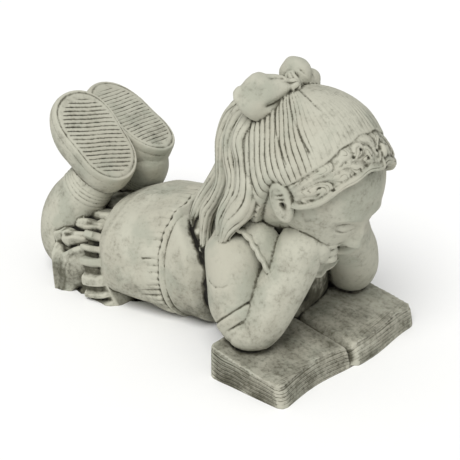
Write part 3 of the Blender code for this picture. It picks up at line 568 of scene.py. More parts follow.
def addCollar():
    # laid flat over the shoulders, with a scalloped edge that is turned up into a fine rim
    count = collar["count"]
    neckline = looped([(-132, 0, 196), (-118, -34, 196), (-92, -50, 186), (-68, -46, 164),
                       (-58, 0, 142)], count)
    edge = looped([(-160, 0, 184), (-142, -52, 186), (-116, -84, 181), (-90, -90, 176), (-70, -92, 160),
                   (-58, -80, 132), (-52, -40, 112), (-50, 0, 104)], count)
    away = unitRows(edge - neckline)
    around = np.linspace(0, collar["scallops"] * math.pi, count, endpoint=False)
    edge = edge + away * (collar["scallop"] * (np.abs(np.cos(around)) - 0.5))[:, None]
    up = unitRows(np.cross(away, unitRows(np.roll(edge, -1, 0) - np.roll(edge, 1, 0))))
    up = up * np.sign(up[:, 2:3] + 0.2)
    middle = (neckline + edge) / 2 + [0, 0, 4]
    inner = edge - away * 7
    rim = edge - away * 2 + up * collar["rim"]
    below = np.array([0.0, 0.0, -14.0])
    rings = [neckline + below, neckline, (neckline + middle) / 2 + [0, 0, 1], middle, inner - up * 0.6,
             edge - away * 4 + up * collar["rim"] * 0.7, rim, edge + up, edge - up * 4,
             (edge + neckline) / 2 + below]
    faces = []
    for i in range(len(rings)):
        here, there = i * count, (i + 1) % len(rings) * count
        for j in range(count):
            k = (j + 1) % count
            faces.append((here + j, there + j, there + k, here + k))
    addShape("collar", np.vstack(rings), faces)


head = {"centre": (-67.0, 0.0, 236.0), "radii": (93.0, 79.0, 93.0), "pitch": 25,
        "faceRadii": (88.0, 76.0, 90.0), "facePitch": 34}


def onHead(forward, left, up):
    return np.array(head["centre"]) + np.array([forward, left, up]) @ pitched(head["pitch"])


def faceRelief(directions):
    # a calm, generic child's face: f forward, l left, h high
    f, l, h = (directions * np.array(head["faceRadii"])).T
    front = step(f, 8, 40)
    side = np.abs(l)

    def spot(atSide, atHeight, wide, high):
        return np.exp(-((side - atSide) / wide) ** 2 - ((h - atHeight) / high) ** 2)

    relief = -15 * np.exp(-((h + 62) / 34) ** 2) * step(side, 26, 66) * step(f, -40, 30)
    relief += 5 * spot(0, -66, 15, 12) + 4.5 * spot(31, -34, 19, 18)
    relief += -7.5 * spot(25, 3, 15, 10) + 6.0 * spot(25, 1, 10, 7.5)
    lid = h + 4.5 - 0.022 * (side - 25) ** 2
    relief += -2.0 * np.exp(-((side - 25) / 9.5) ** 2 - (lid / 1.5) ** 2)
    relief += 0.9 * np.exp(-((side - 25) / 10) ** 2 - ((lid + 3) / 1.6) ** 2)
    crease = h - 7.5 + 0.018 * (side - 25) ** 2
    relief += -1.4 * np.exp(-((side - 25) / 11) ** 2 - (crease / 1.5) ** 2)
    brow = h - 18.5 + 0.016 * (side - 22) ** 2
    relief += 2.6 * np.exp(-((side - 24) / 14) ** 2 - (brow / 4.2) ** 2)
    relief += 9 * np.exp(-(l / 5.5) ** 2 - ((h + 10) / 12) ** 2)
    relief += 13 * np.exp(-(l / 7.5) ** 2 - ((h + 22) / 7) ** 2)
    relief += 4.8 * spot(7.5, -25, 4, 4) - 2.2 * spot(4.2, -29.5, 2.6, 1.8)
    relief += 4.2 * np.exp(-(l / 13) ** 2 - ((h + 42) / 3.8) ** 2)
    relief += 4.6 * np.exp(-(l / 10.5) ** 2 - ((h + 50.5) / 4) ** 2)
    relief += -3.8 * np.exp(-(l / 14) ** 2 - ((h + 46 - 0.010 * l**2) / 1.3) ** 2)
    relief += -1.6 * np.exp(-(l / 2.4) ** 2 - ((h + 35) / 4) ** 2)
    relief += -3.5 * np.exp(-(l / 10) ** 2 - ((h + 58) / 3.5) ** 2) - 1.5 * spot(16.5, -45, 3, 3)
    return relief * front


# a degree round the head is so many millimetres along it
hair = {"knot": (-70.0, 0.0, 77.0), "strand": 1.1, "strands": 72, "seamDepth": 1.2, "lock": 5.0,
        "perDegree": 1.62,
        # drilled holes of the fringe: place across in millimetres, and angle from the top
        "drilled": [(-61, 49), (-52, 53), (-27, 34), (-12.5, 38), (-16, 31), (4, 36), (13, 41), (25, 35),
                    (38, 43), (52, 50)],
        # curls that the fringe is wound into: place across, distance below the seam, radius and turn
        "curls": [(-66, 30, 12, 3.2), (-58, 13, 9, -2.6), (-47, 27, 11, 2.8), (-37, 12, 9, -2.8),
                  (-30, 27, 10, 3.0), (-20, 12, 9, 2.6), (-12, 26, 10, -3.0), (-3, 11, 8, -2.6),
                  (6, 25, 10, 3.0), (15, 11, 8, 2.6), (24, 24, 10, -3.0), (33, 12, 9, 2.6),
                  (43, 26, 11, -2.8), (55, 14, 9, 2.6), (65, 30, 12, -3.2)]}


def seamAngle(left):
    # where the scalp's hair ends, round the ears' axis from the top
    return np.radians(22.8 + 11.0 * (np.abs(left) / 70) ** 2)


def fringeAngle(left):
    return np.radians(49.0 + 29.0 * (np.abs(left) / 70) ** 3.2)


def hairPlan(directions):
    # where each point lies in the hair: round the knot and away from it, and down the fringe
    f, l, h = (directions * np.array(head["radii"])).T
    roundEars = np.arctan2(f, h)
    knot = np.array(hair["knot"]) / np.linalg.norm(hair["knot"])
    side = np.array([0.0, 1.0, 0.0])
    fan = np.arctan2(directions @ side, directions @ np.cross(side, knot))
    away = np.arccos(np.clip(directions @ knot, -1, 1))
    swept = fan + 0.16 * away * np.sign(fan) + 0.05 * np.sin(3 * fan + 2.0 * away)
    swept = swept + 0.02 * np.sin(7 * away + 5 * fan)
    strands = hair["strands"] * swept + 1.6 * np.sin(5 * fan)
    bold = 0.25 + 0.85 * step(np.abs(fan), 0.70, 1.15) + 0.25 * bump(fan - 0.25, 0.3)
    seam = seamAngle(l) + 0.010 * np.sin(l / 4.5)
    edge = fringeAngle(l) + 0.015 * np.cos(l / 5.0)
    down = np.clip((roundEars - seam) / (edge - seam), 0, 1)
    # the fringe's strands run down from the seam and are wound up round the middles of the curls
    a, b = l, np.degrees(roundEars - seam) * hair["perDegree"]
    puffed = 0.0
    for across, below, radius, turn in hair["curls"]:
        u, v = a - across, b - below
        near = np.exp(-(u * u + v * v) / radius ** 2)
        c, s = np.cos(turn * near), np.sin(turn * near)
        a, b = across + u * c - v * s, below + u * s + v * c
        puffed = np.maximum(puffed, near)
    rolled = step(down, 0.74, 0.80)
    belowEdge = np.degrees(roundEars - edge) * hair["perDegree"]
    wave = (a * (1 - rolled) + belowEdge * rolled) / hair["lock"] * 2 * math.pi
    scalpSide = step(seam - roundEars, -0.02, 0.02)
    fringeSide = (1 - scalpSide) * step(edge - roundEars, 0.0, 0.02)
    # the ear and the nape stay bare
    bare = np.exp(-((f - 14) / 15) ** 4 - ((h + 2) / 20) ** 4) * step(np.abs(l), 55, 64)
    nape = step(h, -72, -54) * step(8 - f + (h + 40) * 0.6, -6, 6)
    covered = (scalpSide * nape + fringeSide) * (1 - bare)
    return (l, roundEars, fan, away, strands, bold, seam, down, wave, rolled, puffed, scalpSide, fringeSide,
            covered)


def hairCuts(fan, away):
    # a few long cuts that part the strands above the ear
    cuts = 0
    for at, reach in ((-1.28, 1.15), (-1.62, 1.25), (-0.75, 0.6), (1.28, 1.15), (1.62, 1.25)):
        cut = bump((fan - at - 0.32 * np.sign(-at) * away) * np.sin(away) * 93, 1.7)
        cuts = cuts + cut * step(away, 0.16, 0.3) * (1 - step(away, reach, reach + 0.2))
    return cuts


def hairHoles(l, roundEars):
    return sum(bump(np.hypot(l - at, (np.degrees(roundEars) - angle) * hair["perDegree"]), 2.1)
               for at, angle in hair["drilled"])


def hairRelief(directions):
    # strands fanning from the bow to an engraved seam, and in front of it the short curled fringe
    (l, roundEars, fan, away, phase, bold, seam, down, wave, rolled, puffed, scalpSide, fringeSide,
     covered) = hairPlan(directions)
    strands = hair["strand"] * ridges(phase) + 0.3 * ridges(2 * phase + math.pi)
    strands = strands * bold * step(away, 0.10, 0.28) - 1.3 * hairCuts(fan, away)
    locks = 0.7 * ridges(wave) * step(down, 0.0, 0.12) + 3.0 * (puffed - 0.4) * (1 - rolled)
    roll = 2.0 * bump(down - 0.88, 0.2) - 0.9 * bump(down - 0.75, 0.05)
    scalp = 5.5 - 2.5 * step(roundEars - seam, -0.45, 0.0)
    fringe = 2.2 + 3.2 * down + locks + roll - 2.8 * hairHoles(l, roundEars)
    height = scalpSide * (scalp + strands) + fringeSide * fringe + 1.5
    height = height - hair["seamDepth"] * bump(roundEars - seam, 0.014)
    return height * covered - 11.0 * (1 - covered)


def hairLines(directions):
    (l, roundEars, fan, away, phase, bold, seam, down, wave, rolled, puffed, scalpSide, fringeSide,
     covered) = hairPlan(directions)
    behind = step(math.pi - np.abs(fan), 0.05, 0.12)
    share = scalpSide * np.clip(bold, 0, 1) * step(away, 0.10, 0.28) * behind
    share = 0.58 * share + 0.5 * fringeSide * step(down, 0.03, 0.12) * (1 - 4 * rolled * (1 - rolled))
    share = share * covered * step(np.abs(roundEars - seam), 0.02, 0.04)
    dashes = 0.55 + 0.45 * np.sin(l / 2.6 + 2 * np.sin(l / 9))
    inked = 0.7 * hairCuts(fan, away) + 0.8 * dashes * bump(roundEars - seam, 0.010)
    inked = inked + 1.1 * hairHoles(l, roundEars)
    inked = inked + 0.18 * fringeSide * (1 - step(puffed, 0.05, 0.45)) * (1 - rolled) * step(down, 0.05, 0.2)
    inked = inked + 0.25 * fringeSide * bump(down - 0.98, 0.05)
    return np.where(scalpSide > 0.5, phase, wave), share, inked * covered


def addCurls():
    # curls that stand out of the fringe, each a tapering comma
    for k, left in enumerate((-64, -40, -17, 27, 49)):
        turn = 1 if k % 2 else -1
        centreAngle = fringeAngle(left) - 0.16 - 0.09 * (k % 3)
        stations = []
        for t in np.linspace(0, 1, 9):
            swirl = turn * (0.4 + 4.2 * t)
            reach = 7.0 * (1 - 0.62 * t)
            l = left + reach * math.sin(swirl)
            a = centreAngle + reach * math.cos(swirl) / 95
            shrink = math.sqrt(max(0.05, 1 - (l / head["radii"][1]) ** 2))
            r = head["radii"][0] + 2.6 + 1.8 * t
            place = onHead(math.sin(a) * r * shrink, l * 1.05, math.cos(a) * r * shrink)
            stations.append((*place, 3.0 - 1.0 * t, 3.0 - 1.0 * t))
        addTube("curl", stations, count=40, around=24)


def addForelock():
    # the two rolled curls that stand out at the front of the fringe
    for left, middle, size in ((13, 37, 1.0), (6, 45, 0.85)):
        stations = []
        for t in np.linspace(0, 1, 10):
            swirl = 0.6 + 4.6 * t
            reach = size * 6.0 * (1 - 0.5 * t)
            a = math.radians(middle) + reach * math.cos(swirl) / 95
            r = head["radii"][0] + 3.5 + reach * math.sin(swirl) * 0.6
            place = onHead(math.sin(a) * r, left + 3 * t, math.cos(a) * r)
            stations.append((*place, size * (3.9 - 1.2 * t), size * (3.9 - 1.2 * t)))
        addTube("forelock", stations, count=50, around=28)


def addHead():
    centre, radii = np.array(head["centre"]), np.array(head["radii"])
    addBall("face", centre, np.array(head["faceRadii"]), pitched(head["facePitch"]), 7, faceRelief)
    addBall("hair", centre, radii, pitched(head["pitch"]), 8, hairRelief, hairLines)
    addCurls()
    addForelock()
    # the ear: a raised rim, a few ridges in the bowl and the hole below them
    size = np.array([15.0, 8.0, 25.0])

    def earRelief(directions):
        f, l, h = (directions * size).T
        near = step(-l, 0, 3)
        q = np.hypot(f / size[0], h / size[2])
        rim = 0.9 * bump(q - 0.86, 0.16) - 2.2 * (1 - step(q, 0.45, 0.72))
        hole = -5.0 * np.exp(-((f - 4.2) / 3.6) ** 2 - ((h + 4.5) / 4.2) ** 2)
        folds = 1.3 * np.cos((h - 1.0) * 1.15) * np.exp(-((f - 3.5) / 6) ** 2 - ((h - 6) / 6) ** 2)
        return (rim + hole + folds) * near

    def earLines(directions):
        f, l, h = (directions * size).T
        q = np.hypot(f / size[0], h / size[2])
        hole = 1.3 * np.exp(-((f - 4.2) / 3.2) ** 2 - ((h + 4.5) / 4.2) ** 2)
        bowl = np.exp(-((f - 3.5) / 6) ** 4 - ((h - 6) / 8) ** 4)
        folds = 0.7 * bump((h - 6.5) / 5.4 % 1 - 0.5, 0.25) * bowl
        return 0 * f, 0 * f, (hole + folds + 0.35 * bump(q - 0.66, 0.1)) * step(-l, 0, 3)
    copyAcross(addBall("ear", (-50, -76, 228), size, pitched(-19), 6, earRelief, earLines))


# each lock: the way its flat face looks, then its stations
rightLocks = [
    ((-0.35, -0.93, 0.1), [
        (-102, -12, 330, 10, 8), (-115, -32, 315, 11, 9), (-123, -48, 298, 11, 9), (-124, -60, 277, 12, 10),
        (-113, -67, 257, 13, 10), (-103, -75, 238, 15, 11), (-99, -81, 222, 16, 12), (-101, -86, 209, 16, 13),
        (-109, -91, 194, 13, 10), (-115, -95, 180, 9, 7), (-120, -99, 161, 3, 3)]),
    ((-0.7, -0.7, 0.1), [
        (-109, -8, 329, 10, 8), (-129, -26, 316, 12, 9), (-145, -38, 295, 12, 10), (-147, -50, 270, 12, 10),
        (-140, -57, 247, 12, 10), (-126, -67, 229, 12, 10), (-124, -75, 212, 11, 9), (-128, -83, 197, 8, 7),
        (-131, -88, 182, 6, 5), (-131, -91, 168, 3, 3)]),
    ((-0.8, -0.55, 0.15), [
        (-112, -4, 328, 9, 7), (-140, -18, 315, 10, 8), (-164, -28, 291, 11, 9), (-171, -38, 262, 10, 8),
        (-166, -45, 236, 9, 8), (-161, -51, 214, 9, 8), (-167, -55, 194, 9, 8), (-179, -57, 172, 9, 8),
        (-182, -59, 150, 8, 6), (-182, -60, 131, 6, 5), (-188, -58, 113, 3, 3)])]
backLocks = [
    ((-1.0, 0.0, 0.1), [
        (-112, 0, 330, 12, 9), (-146, -4, 311, 18, 10), (-168, -10, 277, 20, 11), (-173, -16, 240, 19, 11),
        (-186, -24, 206, 15, 11), (-204, -38, 172, 9, 8), (-213, -44, 146, 5, 5), (-214, -40, 130, 3, 3)]),
    ((-1.0, 0.1, 0.1), [
        (-112, 6, 328, 12, 9), (-146, 18, 308, 18, 10), (-168, 22, 264, 20, 11), (-176, 20, 220, 18, 11),
        (-196, 14, 192, 13, 9), (-212, 8, 172, 9, 7), (-222, 6, 152, 3, 3)]),
    ((-1.0, 0.0, 0.1), [
        (-112, 0, 318, 28, 10), (-142, 0, 288, 42, 18), (-152, 0, 240, 46, 24), (-150, 0, 196, 42, 22),
        (-142, 0, 166, 30, 16)])]


def lockTwist(along, angle):
    # long cuts that wander round the lock
    return 9 * angle + 4.0 * np.sin(5.0 * along + 0.6) + 1.6 * np.sin(11 * along + angle)


def lockStrands(along, angle, points):
    twist = lockTwist(along, angle)
    return (0.85 * ridges(twist) + 0.25 * ridges(2 * twist + math.pi)) * step(along, 0.0, 0.1) + 0.8


def lockLines(along, angle, points):
    share = 0.8 * step(along, 0.02, 0.1) * (0.7 + 0.3 * np.sin(3 * angle + 9 * along))
    return lockTwist(along, angle), share * (1 - step(along, 0.93, 0.98)), 0 * angle


def addPonytail():
    for way, rows in rightLocks:
        copyAcross(addTube("lock", rows, count=170, around=120, up=way, carve=lockStrands, lines=lockLines))
    for way, rows in backLocks:
        addTube("backLock", rows, count=170, around=120, up=way, carve=lockStrands, lines=lockLines)


bow = {"view": ((0.598, -0.674, 0.434), (0.748, 0.664, 0.0), (-0.288, 0.324, 0.901)),
       # creases of the near loop: angle, drift along it, where it begins and ends, depth
       "cuts": [(1.30, -0.35, 0.06, 0.66, 4.4), (2.25, 0.2, 0.12, 0.5, 2.2), (0.55, 0.3, 0.05, 0.35, 1.8)]}


def addBow():
    # two puffed loops and the knot between them, creased towards the knot
    toCamera, toRight, toTop = (np.array(way) for way in bow["view"])

    def cuts(along, angle):
        # each crease's depth, how far off it lies and where along the loop it runs
        for middle, drift, begin, end, depth in bow["cuts"]:
            turn = np.angle(np.exp(1j * (angle - middle - drift * along)))
            yield depth, turn, step(along, begin, begin + 0.1) * (1 - step(along, end - 0.2, end))

    def creases(along, angle, points):
        towardsKnot = np.exp(-(along / 0.30) ** 2)
        cut = sum(depth * bump(turn, 0.25) * within for depth, turn, within in cuts(along, angle))
        return 1.2 * towardsKnot * ridges(6 * angle + 0.6) - cut + 0.8 * np.sin(3 * angle + 7 * along)

    def creaseLines(along, angle, points):
        width = 0.05 + 0.08 * (1 - along) ** 3
        inked = sum(depth / 6 * bump(turn, width) * within for depth, turn, within in cuts(along, angle))
        return 6 * angle + 0.6, 0.6 * np.exp(-(along / 0.22) ** 2), inked

    def dented(directions, width, length):
        # two slanting dents in the side that looks to the camera
        a, c = directions @ toRight, directions @ toTop
        dent = sum(bump(a * 0.6 + c * 0.8 - off, width) * bump(a * 0.8 - c * 0.6 - 0.25, length)
                   for off in (-0.25, 0.15))
        return a, c, dent * step(directions @ toCamera, 0.0, 0.4)

    def dents(directions):
        a, c, dent = dented(directions, 0.10, 0.45)
        return -2.8 * dent + 0.6 * np.sin(5 * a + 4 * c)

    def dentLines(directions):
        a, _, dent = dented(directions, 0.06, 0.35)
        return 0 * a, 0 * a, 0.8 * dent

    rightLoop = [(-90, -9, 337, 8, 7), (-94, -14, 334, 16, 10), (-99, -23, 331, 23, 14),
                 (-105, -34, 328, 27, 17), (-111, -45, 328, 28, 17), (-116, -54, 330, 25, 14),
                 (-121, -61, 332, 18, 10), (-124, -66, 334, 10, 6)]
    addTube("rightLoop", rightLoop, count=110, around=160, up=toCamera, carve=creases, lines=creaseLines)
    addBall("leftLoop", (-108, 16, 341), (20, 17, 20), detail=6, carve=dents, lines=dentLines)
    addBall("leftFold", (-104, 32, 329), (15, 18, 15), detail=6, carve=dents, lines=dentLines)
    leftRoot = [(-98, 2, 336, 8, 8), (-101, 16, 334, 13, 11), (-99, 34, 327, 11, 10)]
    addTube("leftRoot", leftRoot, count=30, around=60)
    knot = [(-103, 0, 343, 6, 6), (-97, -1, 336, 8, 8), (-90, 0, 326, 6, 6)]
    addTube("knot", knot, count=40, around=80, up=(0, 1, 0), carve=lambda u, a, p: 1.2 * ridges(7 * a))


def applyAll(statue, kinds):
    # each modifier is added with its settings and applied in turn
    bpy.ops.object.select_all(action="DESELECT")
    statue.select_set(True)
    bpy.context.view_layer.objects.active = statue
    for kind, settings in kinds:
        modifier = statue.modifiers.new(kind.lower(), kind)
        for name, value in settings.items():
            setattr(modifier, name, value)
        bpy.ops.object.modifier_apply(modifier=modifier.name)


lineNames = ("linePhase", "lineShare", "inked")


def drawnLines(shape):
    # the joined forms and their drawn lines, kept before the forms become one skin
    mesh = shape.data
    starts, sizes = np.empty(len(mesh.polygons), int), np.empty(len(mesh.polygons), int)
    corners = np.empty(len(mesh.loops), int)
    mesh.polygons.foreach_get("loop_start", starts)
    mesh.polygons.foreach_get("loop_total", sizes)
    mesh.loops.foreach_get("vertex_index", corners)
    values = np.empty((len(lineNames), len(mesh.vertices)), np.float32)
    for row, name in zip(values, lineNames):
        mesh.attributes[name].data.foreach_get("value", row)
    bpy.context.view_layer.update()
    tree = BVHTree.FromObject(shape, bpy.context.evaluated_depsgraph_get())
    return tree, pointsOf(shape), starts, sizes, corners, values


def redrawLines(shape, lines):
    # each point of the skin takes the lines of the nearest place on the forms
    tree, source, starts, sizes, corners, values = lines
    points = pointsOf(shape) - casting["bookFront"]
    found = [tree.find_nearest(point) for point in points.tolist()]
    places = np.array([tuple(hit[0]) for hit in found])
    faces = np.array([hit[2] for hit in found])
    total, weights = np.zeros((len(lineNames), len(points))), np.zeros(len(points))
    for k in range(4):
        corner = corners[starts[faces] + k % sizes[faces]]
        weight = (k < sizes[faces]) / (((source[corner] - places) ** 2).sum(1) + 1e-10)
        total += values[:, corner] * weight
        weights += weight
    for name, row in zip(lineNames, total / weights):
        layer = shape.data.attributes.new(name, "FLOAT", "POINT")
        layer.data.foreach_set("value", row.astype(np.float32))


def castStatue():
    addBook()
    addDress()
    addLegs()
    addShoe("right")
    addShoe("left")
    addArm("right")
    addArm("left")
    addHands()
    addNeck()
    addCollar()
    addHead()
    addPonytail()
    addBow()
    print("forms", len(forms))
    bpy.ops.object.select_all(action="DESELECT")
    for shape in forms:
        shape.select_set(True)
    bpy.context.view_layer.objects.active = forms[0]
    bpy.ops.object.join()
    statue = bpy.context.active_object
    statue.name = "readingGirl"
    statue.data.name = "readingGirl"
    setPoints(statue, pointsOf(statue) * casting["unit"])
    lines = drawnLines(statue)
    applyAll(statue, [("REMESH", {"mode": "VOXEL", "voxel_size": casting["voxel"]}),
                      ("SMOOTH", {"factor": 0.5, "iterations": casting["softening"]})])
    fine = len(statue.data.polygons)
    # the underside is pressed flat before the mesh is thinned
    points = pointsOf(statue)
    points[:, 2] = np.maximum(points[:, 2], 0.0)
    setPoints(statue, points + np.array(casting["bookFront"]))
    ratio = casting["triangles"] / (2 * fine)
    applyAll(statue, [("DECIMATE", {"ratio": ratio, "use_collapse_triangulate": True})])
    redrawLines(statue, lines)
    print("cast", fine, "thinned to", len(statue.data.polygons))
    bpy.ops.object.shade_smooth()
    return statue


washAndShadeSettings = {"rays": 20, "reach": 0.022, "seed": 7, "span": 0.0022, "offSkin": 0.0008,
        # groove widths that hold wash, in metres, with the smoothing passes that find each
        "grooves": ((1, 0.0006), (3, 0.0013), (10, 0.0030)),
        # painted shade, mixed with wash, in pools at the back of the bodice by the ponytail and in the hollow
        # under the chin: place in millimetres, radius and strength
        "shadeAndWashPools": [(-224, -33, 153, 17, 0.6), (-212, -50, 146, 13, 0.5), (-200, -30, 160, 18, 0.5),
                  (-200, -30, 190, 14, 0.8), (-85, -40, 80, 26, 0.35), (-85, 10, 60, 30, 0.5)]}


def neighbourAverage(values, edges, count):
    total = np.zeros_like(values)
    weight = np.bincount(edges.ravel(), minlength=count).astype(float)
    for k in range(values.shape[1]):
        total[:, k] = (np.bincount(edges[:, 0], values[edges[:, 1], k], count)
                       + np.bincount(edges[:, 1], values[edges[:, 0], k], count))
    return total / np.maximum(weight, 1)[:, None]


def neighbourSpan(span, edges, count):
    # the mean length of the edges that meet at each point
    total = np.bincount(edges[:, 0], span, count) + np.bincount(edges[:, 1], span, count)
    return total / np.maximum(np.bincount(edges.ravel(), minlength=count), 1)


def washAndShadeStatue(statue):
    # how much dark wash stays at each point in grooves of three widths, and painted shade, mixed with wash,
    # where little sky is seen and in the listed pools
    mesh = statue.data
    points = pointsOf(statue)
    count = len(points)
    normals = np.empty(count * 3)
    mesh.vertices.foreach_get("normal", normals)
    normals = normals.reshape(-1, 3)
    edges = np.empty(len(mesh.edges) * 2, int)
    mesh.edges.foreach_get("vertices", edges)
    edges = edges.reshape(-1, 2)
    smoothed = points
    hollow = np.zeros(count)
    proud = np.zeros(count)
    for passes, width in washAndShadeSettings["grooves"]:
        for _ in range(passes):
            smoothed = neighbourAverage(smoothed, edges, count)
        lift = ((smoothed - points) * normals).sum(1) / width
        hollow = hollow + np.clip(lift, 0, 1.5) / 3
        proud = proud + np.clip(-lift, 0, 1.5) / 3
    # large flat triangles would count as hollow or proud by their size alone
    span = np.linalg.norm(points[edges[:, 0]] - points[edges[:, 1]], axis=1)
    small = np.clip(washAndShadeSettings["span"] / neighbourSpan(span, edges, count), 0, 1) ** 3
    hollow, proud = hollow * small, proud * small
    tree = BVHTree.FromObject(statue, bpy.context.evaluated_depsgraph_get())
    rng = np.random.default_rng(washAndShadeSettings["seed"])
    turns = rng.random((count, washAndShadeSettings["rays"])) * 2 * math.pi
    tilt = np.sqrt(rng.random((count, washAndShadeSettings["rays"])) * 0.97)
    side = unitRows(np.cross(normals, np.where(np.abs(normals[:, 2:3]) < 0.9, [0, 0, 1.0], [1.0, 0, 0])))
    other = np.cross(normals, side)
    blocked = np.zeros(count)
    for k in range(washAndShadeSettings["rays"]):
        flat = tilt[:, k:k + 1]
        ways = (side * np.cos(turns[:, k:k + 1]) * flat + other * np.sin(turns[:, k:k + 1]) * flat
                + normals * np.sqrt(1 - flat ** 2))
        starts = points + normals * washAndShadeSettings["offSkin"]
        for i, (start, way) in enumerate(zip(starts.tolist(), ways.tolist())):
            distance = tree.ray_cast(start, way, washAndShadeSettings["reach"])[3]
            if distance is not None:
                blocked[i] += 1 - distance / washAndShadeSettings["reach"]
    occludedShadeAndWash = neighbourAverage((blocked / washAndShadeSettings["rays"])[:, None], edges, count)
    occludedShadeAndWash = neighbourAverage(occludedShadeAndWash, edges, count)[:, 0]
    for x, y, z, radius, strength in washAndShadeSettings["shadeAndWashPools"]:
        middle = np.array([x, y, z]) * casting["unit"] + casting["bookFront"]
        occludedShadeAndWash = occludedShadeAndWash + strength * bump(np.linalg.norm(points - middle, axis=1), radius * casting["unit"])
    for name, values in (("hollow", hollow), ("proud", proud), ("occludedShadeAndWash", occludedShadeAndWash)):
        layer = mesh.attributes.new(name, "FLOAT", "POINT")
        layer.data.foreach_set("value", values.astype(np.float32))
    print("washed", *(round(float(values.mean()), 3) for values in (hollow, proud, occludedShadeAndWash)))


stone = {"pale": (0.475, 0.468, 0.385), "warm": (0.445, 0.432, 0.352), "green": (0.36, 0.37, 0.30),
         "dark": (0.092, 0.088, 0.062), "black": (0.012, 0.011, 0.008), "roughness": 0.9,
         # how dark the wash is in hollows, how dark the painted shade mixed with wash is in closed places and
         # in drawn lines and ink, how dark three sizes of mottling are, how much darker it grows near the
         # ground, and how far the wash is rubbed off edges that stand proud
         "hollowWash": 0.95, "occludedShadeWash": 0.70, "drawnLinesAndShade": 0.62, "broadWash": 0.14,
         "blotchWash": 0.18, "speckWash": 0.17, "groundDarkening": 0.24, "rubbed": 0.55}


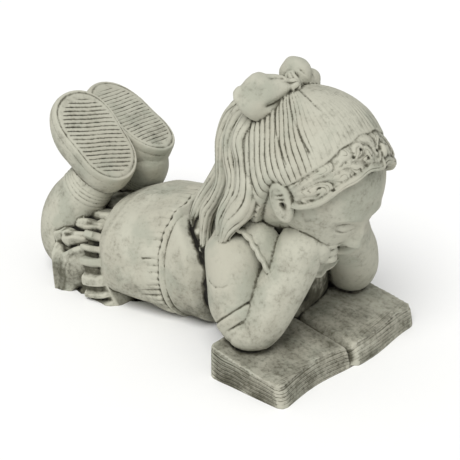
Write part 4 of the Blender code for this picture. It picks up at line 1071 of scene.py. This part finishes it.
def stoneMaterial():
    material = bpy.data.materials.new("castStone")
    material.use_nodes = True
    nodes, links = material.node_tree.nodes, material.node_tree.links
    shader = nodes["Principled BSDF"]
    shader.inputs["Roughness"].default_value = stone["roughness"]
    shader.inputs["Specular IOR Level"].default_value = 0.25
    place = nodes.new("ShaderNodeTexCoord").outputs["Object"]

    def noise(scale, detail=3.0, rough=0.55):
        node = nodes.new("ShaderNodeTexNoise")
        node.inputs["Scale"].default_value = scale
        node.inputs["Detail"].default_value = detail
        node.inputs["Roughness"].default_value = rough
        links.new(place, node.inputs["Vector"])
        return node.outputs["Fac"]

    def worked(kind, a, b):
        node = nodes.new("ShaderNodeMath")
        node.operation = kind
        for socket, value in zip(node.inputs, (a, b)):
            if isinstance(value, (int, float)):
                socket.default_value = value
            else:
                links.new(value, socket)
        return node.outputs[0]

    def ranged(value, low, high, outLow=0.0, outHigh=1.0):
        node = nodes.new("ShaderNodeMapRange")
        node.interpolation_type = "SMOOTHSTEP"
        links.new(value, node.inputs["Value"])
        for name, number in (("From Min", low), ("From Max", high), ("To Min", outLow), ("To Max", outHigh)):
            node.inputs[name].default_value = number
        return node.outputs["Result"]

    def mixed(share, a, b):
        node = nodes.new("ShaderNodeMix")
        node.data_type = "RGBA"
        links.new(share, node.inputs["Factor"])
        for name, value in (("A", a), ("B", b)):
            socket = [s for s in node.inputs if s.name == name and s.type == "RGBA"][0]
            if isinstance(value, tuple):
                socket.default_value = (*value, 1)
            else:
                links.new(value, socket)
        return [s for s in node.outputs if s.type == "RGBA"][0]

    def reading(name):
        node = nodes.new("ShaderNodeAttribute")
        node.attribute_name = name
        return node.outputs["Fac"]

    hollow, proud, occludedShadeAndWash = reading("hollow"), reading("proud"), reading("occludedShadeAndWash")
    broad, blotch, speck, grain = noise(14), noise(55, 4), noise(210, 4, 0.65), noise(620, 3)
    low = nodes.new("ShaderNodeSeparateXYZ")
    links.new(place, low.inputs[0])
    # darker towards the ground
    nearGround = ranged(low.outputs["Z"], 0.075, 0.0)
    tone = mixed(ranged(broad, 0.42, 0.62), stone["pale"], stone["warm"])
    tone = mixed(ranged(noise(23), 0.46, 0.68, 0.0, 0.75), tone, stone["green"])
    # drawn lines: bold ones at each whole turn of the phase, and thin ones half way between
    turns = worked("MULTIPLY", reading("linePhase"), 0.5 / math.pi)
    fromLine = worked("FRACT", worked("ADD", turns, 0.5), 0.0)
    fromLine = worked("ABSOLUTE", worked("SUBTRACT", fromLine, 0.5), 0.0)
    bold = ranged(fromLine, 0.14, 0.02)
    thin = ranged(fromLine, 0.40, 0.49, 0.0, 0.45)
    # the ribs of the soles, whose share is over one, have no thin lines
    thin = worked("MULTIPLY", thin, ranged(reading("lineShare"), 1.02, 0.98))
    worn = ranged(noise(48, 3), 0.36, 0.64, 0.35, 1.1)
    drawn = worked("MULTIPLY", worked("MULTIPLY", worked("ADD", bold, thin), reading("lineShare")), worn)
    # the ink put on directly, part of it painted shade in creases, hollows and on shaded sides
    drawn = worked("ADD", drawn, worked("MULTIPLY", reading("inked"), worn))
    # the wash and painted shade: wash heavy in hollows, painted shade mixed with wash where little sky is
    # seen and in the ink, darker near the ground, thin mottling on open faces, rubbed off ridges
    washAndShade = worked("MULTIPLY", hollow, stone["hollowWash"])
    for more in (ranged(occludedShadeAndWash, 0.24, 0.80, 0.0, stone["occludedShadeWash"]),
                 worked("MULTIPLY", drawn, stone["drawnLinesAndShade"]),
                 ranged(blotch, 0.35, 0.8, 0.0, stone["blotchWash"]),
                 ranged(speck, 0.42, 0.75, 0.0, stone["speckWash"]),
                 ranged(noise(9, 2), 0.38, 0.72, 0.0, stone["broadWash"]),
                 worked("MULTIPLY", nearGround, stone["groundDarkening"])):
        washAndShade = worked("ADD", washAndShade, more)
    washAndShade = worked("SUBTRACT", washAndShade, worked("MULTIPLY", proud, stone["rubbed"]))
    tone = mixed(ranged(washAndShade, 0.04, 0.65), tone, stone["dark"])
    tone = mixed(ranged(washAndShade, 0.60, 1.15), tone, stone["black"])
    links.new(tone, shader.inputs["Base Color"])
    rough = nodes.new("ShaderNodeBump")
    rough.inputs["Strength"].default_value = 0.6
    rough.inputs["Distance"].default_value = 0.0014
    height = worked("ADD", worked("MULTIPLY", grain, 0.35), worked("MULTIPLY", speck, 0.65))
    height = worked("SUBTRACT", height, worked("MULTIPLY", drawn, 0.5))
    links.new(height, rough.inputs["Height"])
    links.new(rough.outputs["Normal"], shader.inputs["Normal"])
    return material


studio = {"azimuth": 41.58, "elevation": 25.7, "distance": 1.8, "lensPixels": 1446.7, "framePixels": 460,
          "sensor": 36.0, "target": (0.0262, -0.0073, 0.119), "floorSize": 12.0,
          "lightFrom": (0.30, -0.68, 1.0), "lightWidth": 34, "lightPower": 2.35,
          "skyStrength": 0.52}


def addStudio():
    a, e = math.radians(studio["azimuth"]), math.radians(studio["elevation"])
    back = Vector((math.sin(a) * math.cos(e), -math.cos(a) * math.cos(e), math.sin(e)))
    bpy.ops.object.camera_add(location=Vector(studio["target"]) + back * studio["distance"],
                              rotation=(-back).to_track_quat("-Z", "Y").to_euler())
    camera = bpy.context.active_object
    camera.data.sensor_width = studio["sensor"]
    camera.data.lens = studio["lensPixels"] / studio["framePixels"] * studio["sensor"]
    bpy.context.scene.camera = camera

    bpy.ops.mesh.primitive_plane_add(size=studio["floorSize"])
    floor = bpy.context.active_object
    floor.name = "floor"
    paper = bpy.data.materials.new("paper")
    paper.use_nodes = True
    shader = paper.node_tree.nodes["Principled BSDF"]
    shader.inputs["Base Color"].default_value = (0.93, 0.93, 0.92, 1)
    shader.inputs["Roughness"].default_value = 1.0
    floor.data.materials.append(paper)

    world = bpy.data.worlds.new("studio")
    world.use_nodes = True
    background = world.node_tree.nodes["Background"]
    background.inputs["Color"].default_value = (1, 1, 1, 1)
    background.inputs["Strength"].default_value = studio["skyStrength"]
    bpy.context.scene.world = world
    bpy.context.scene.view_settings.view_transform = "Standard"
    # a broad, soft light from above her right shoulder
    towards = Vector(studio["lightFrom"])
    bpy.ops.object.light_add(type="SUN", rotation=(-towards).to_track_quat("-Z", "Y").to_euler())
    light = bpy.context.active_object
    light.name = "key"
    light.data.angle = math.radians(studio["lightWidth"])
    light.data.energy = studio["lightPower"]


statue = castStatue()
washAndShadeStatue(statue)
statue.data.materials.clear()
statue.data.materials.append(stoneMaterial())
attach(statue, casting["body"])
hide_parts(casting["node"])
addStudio()
print("studio set")
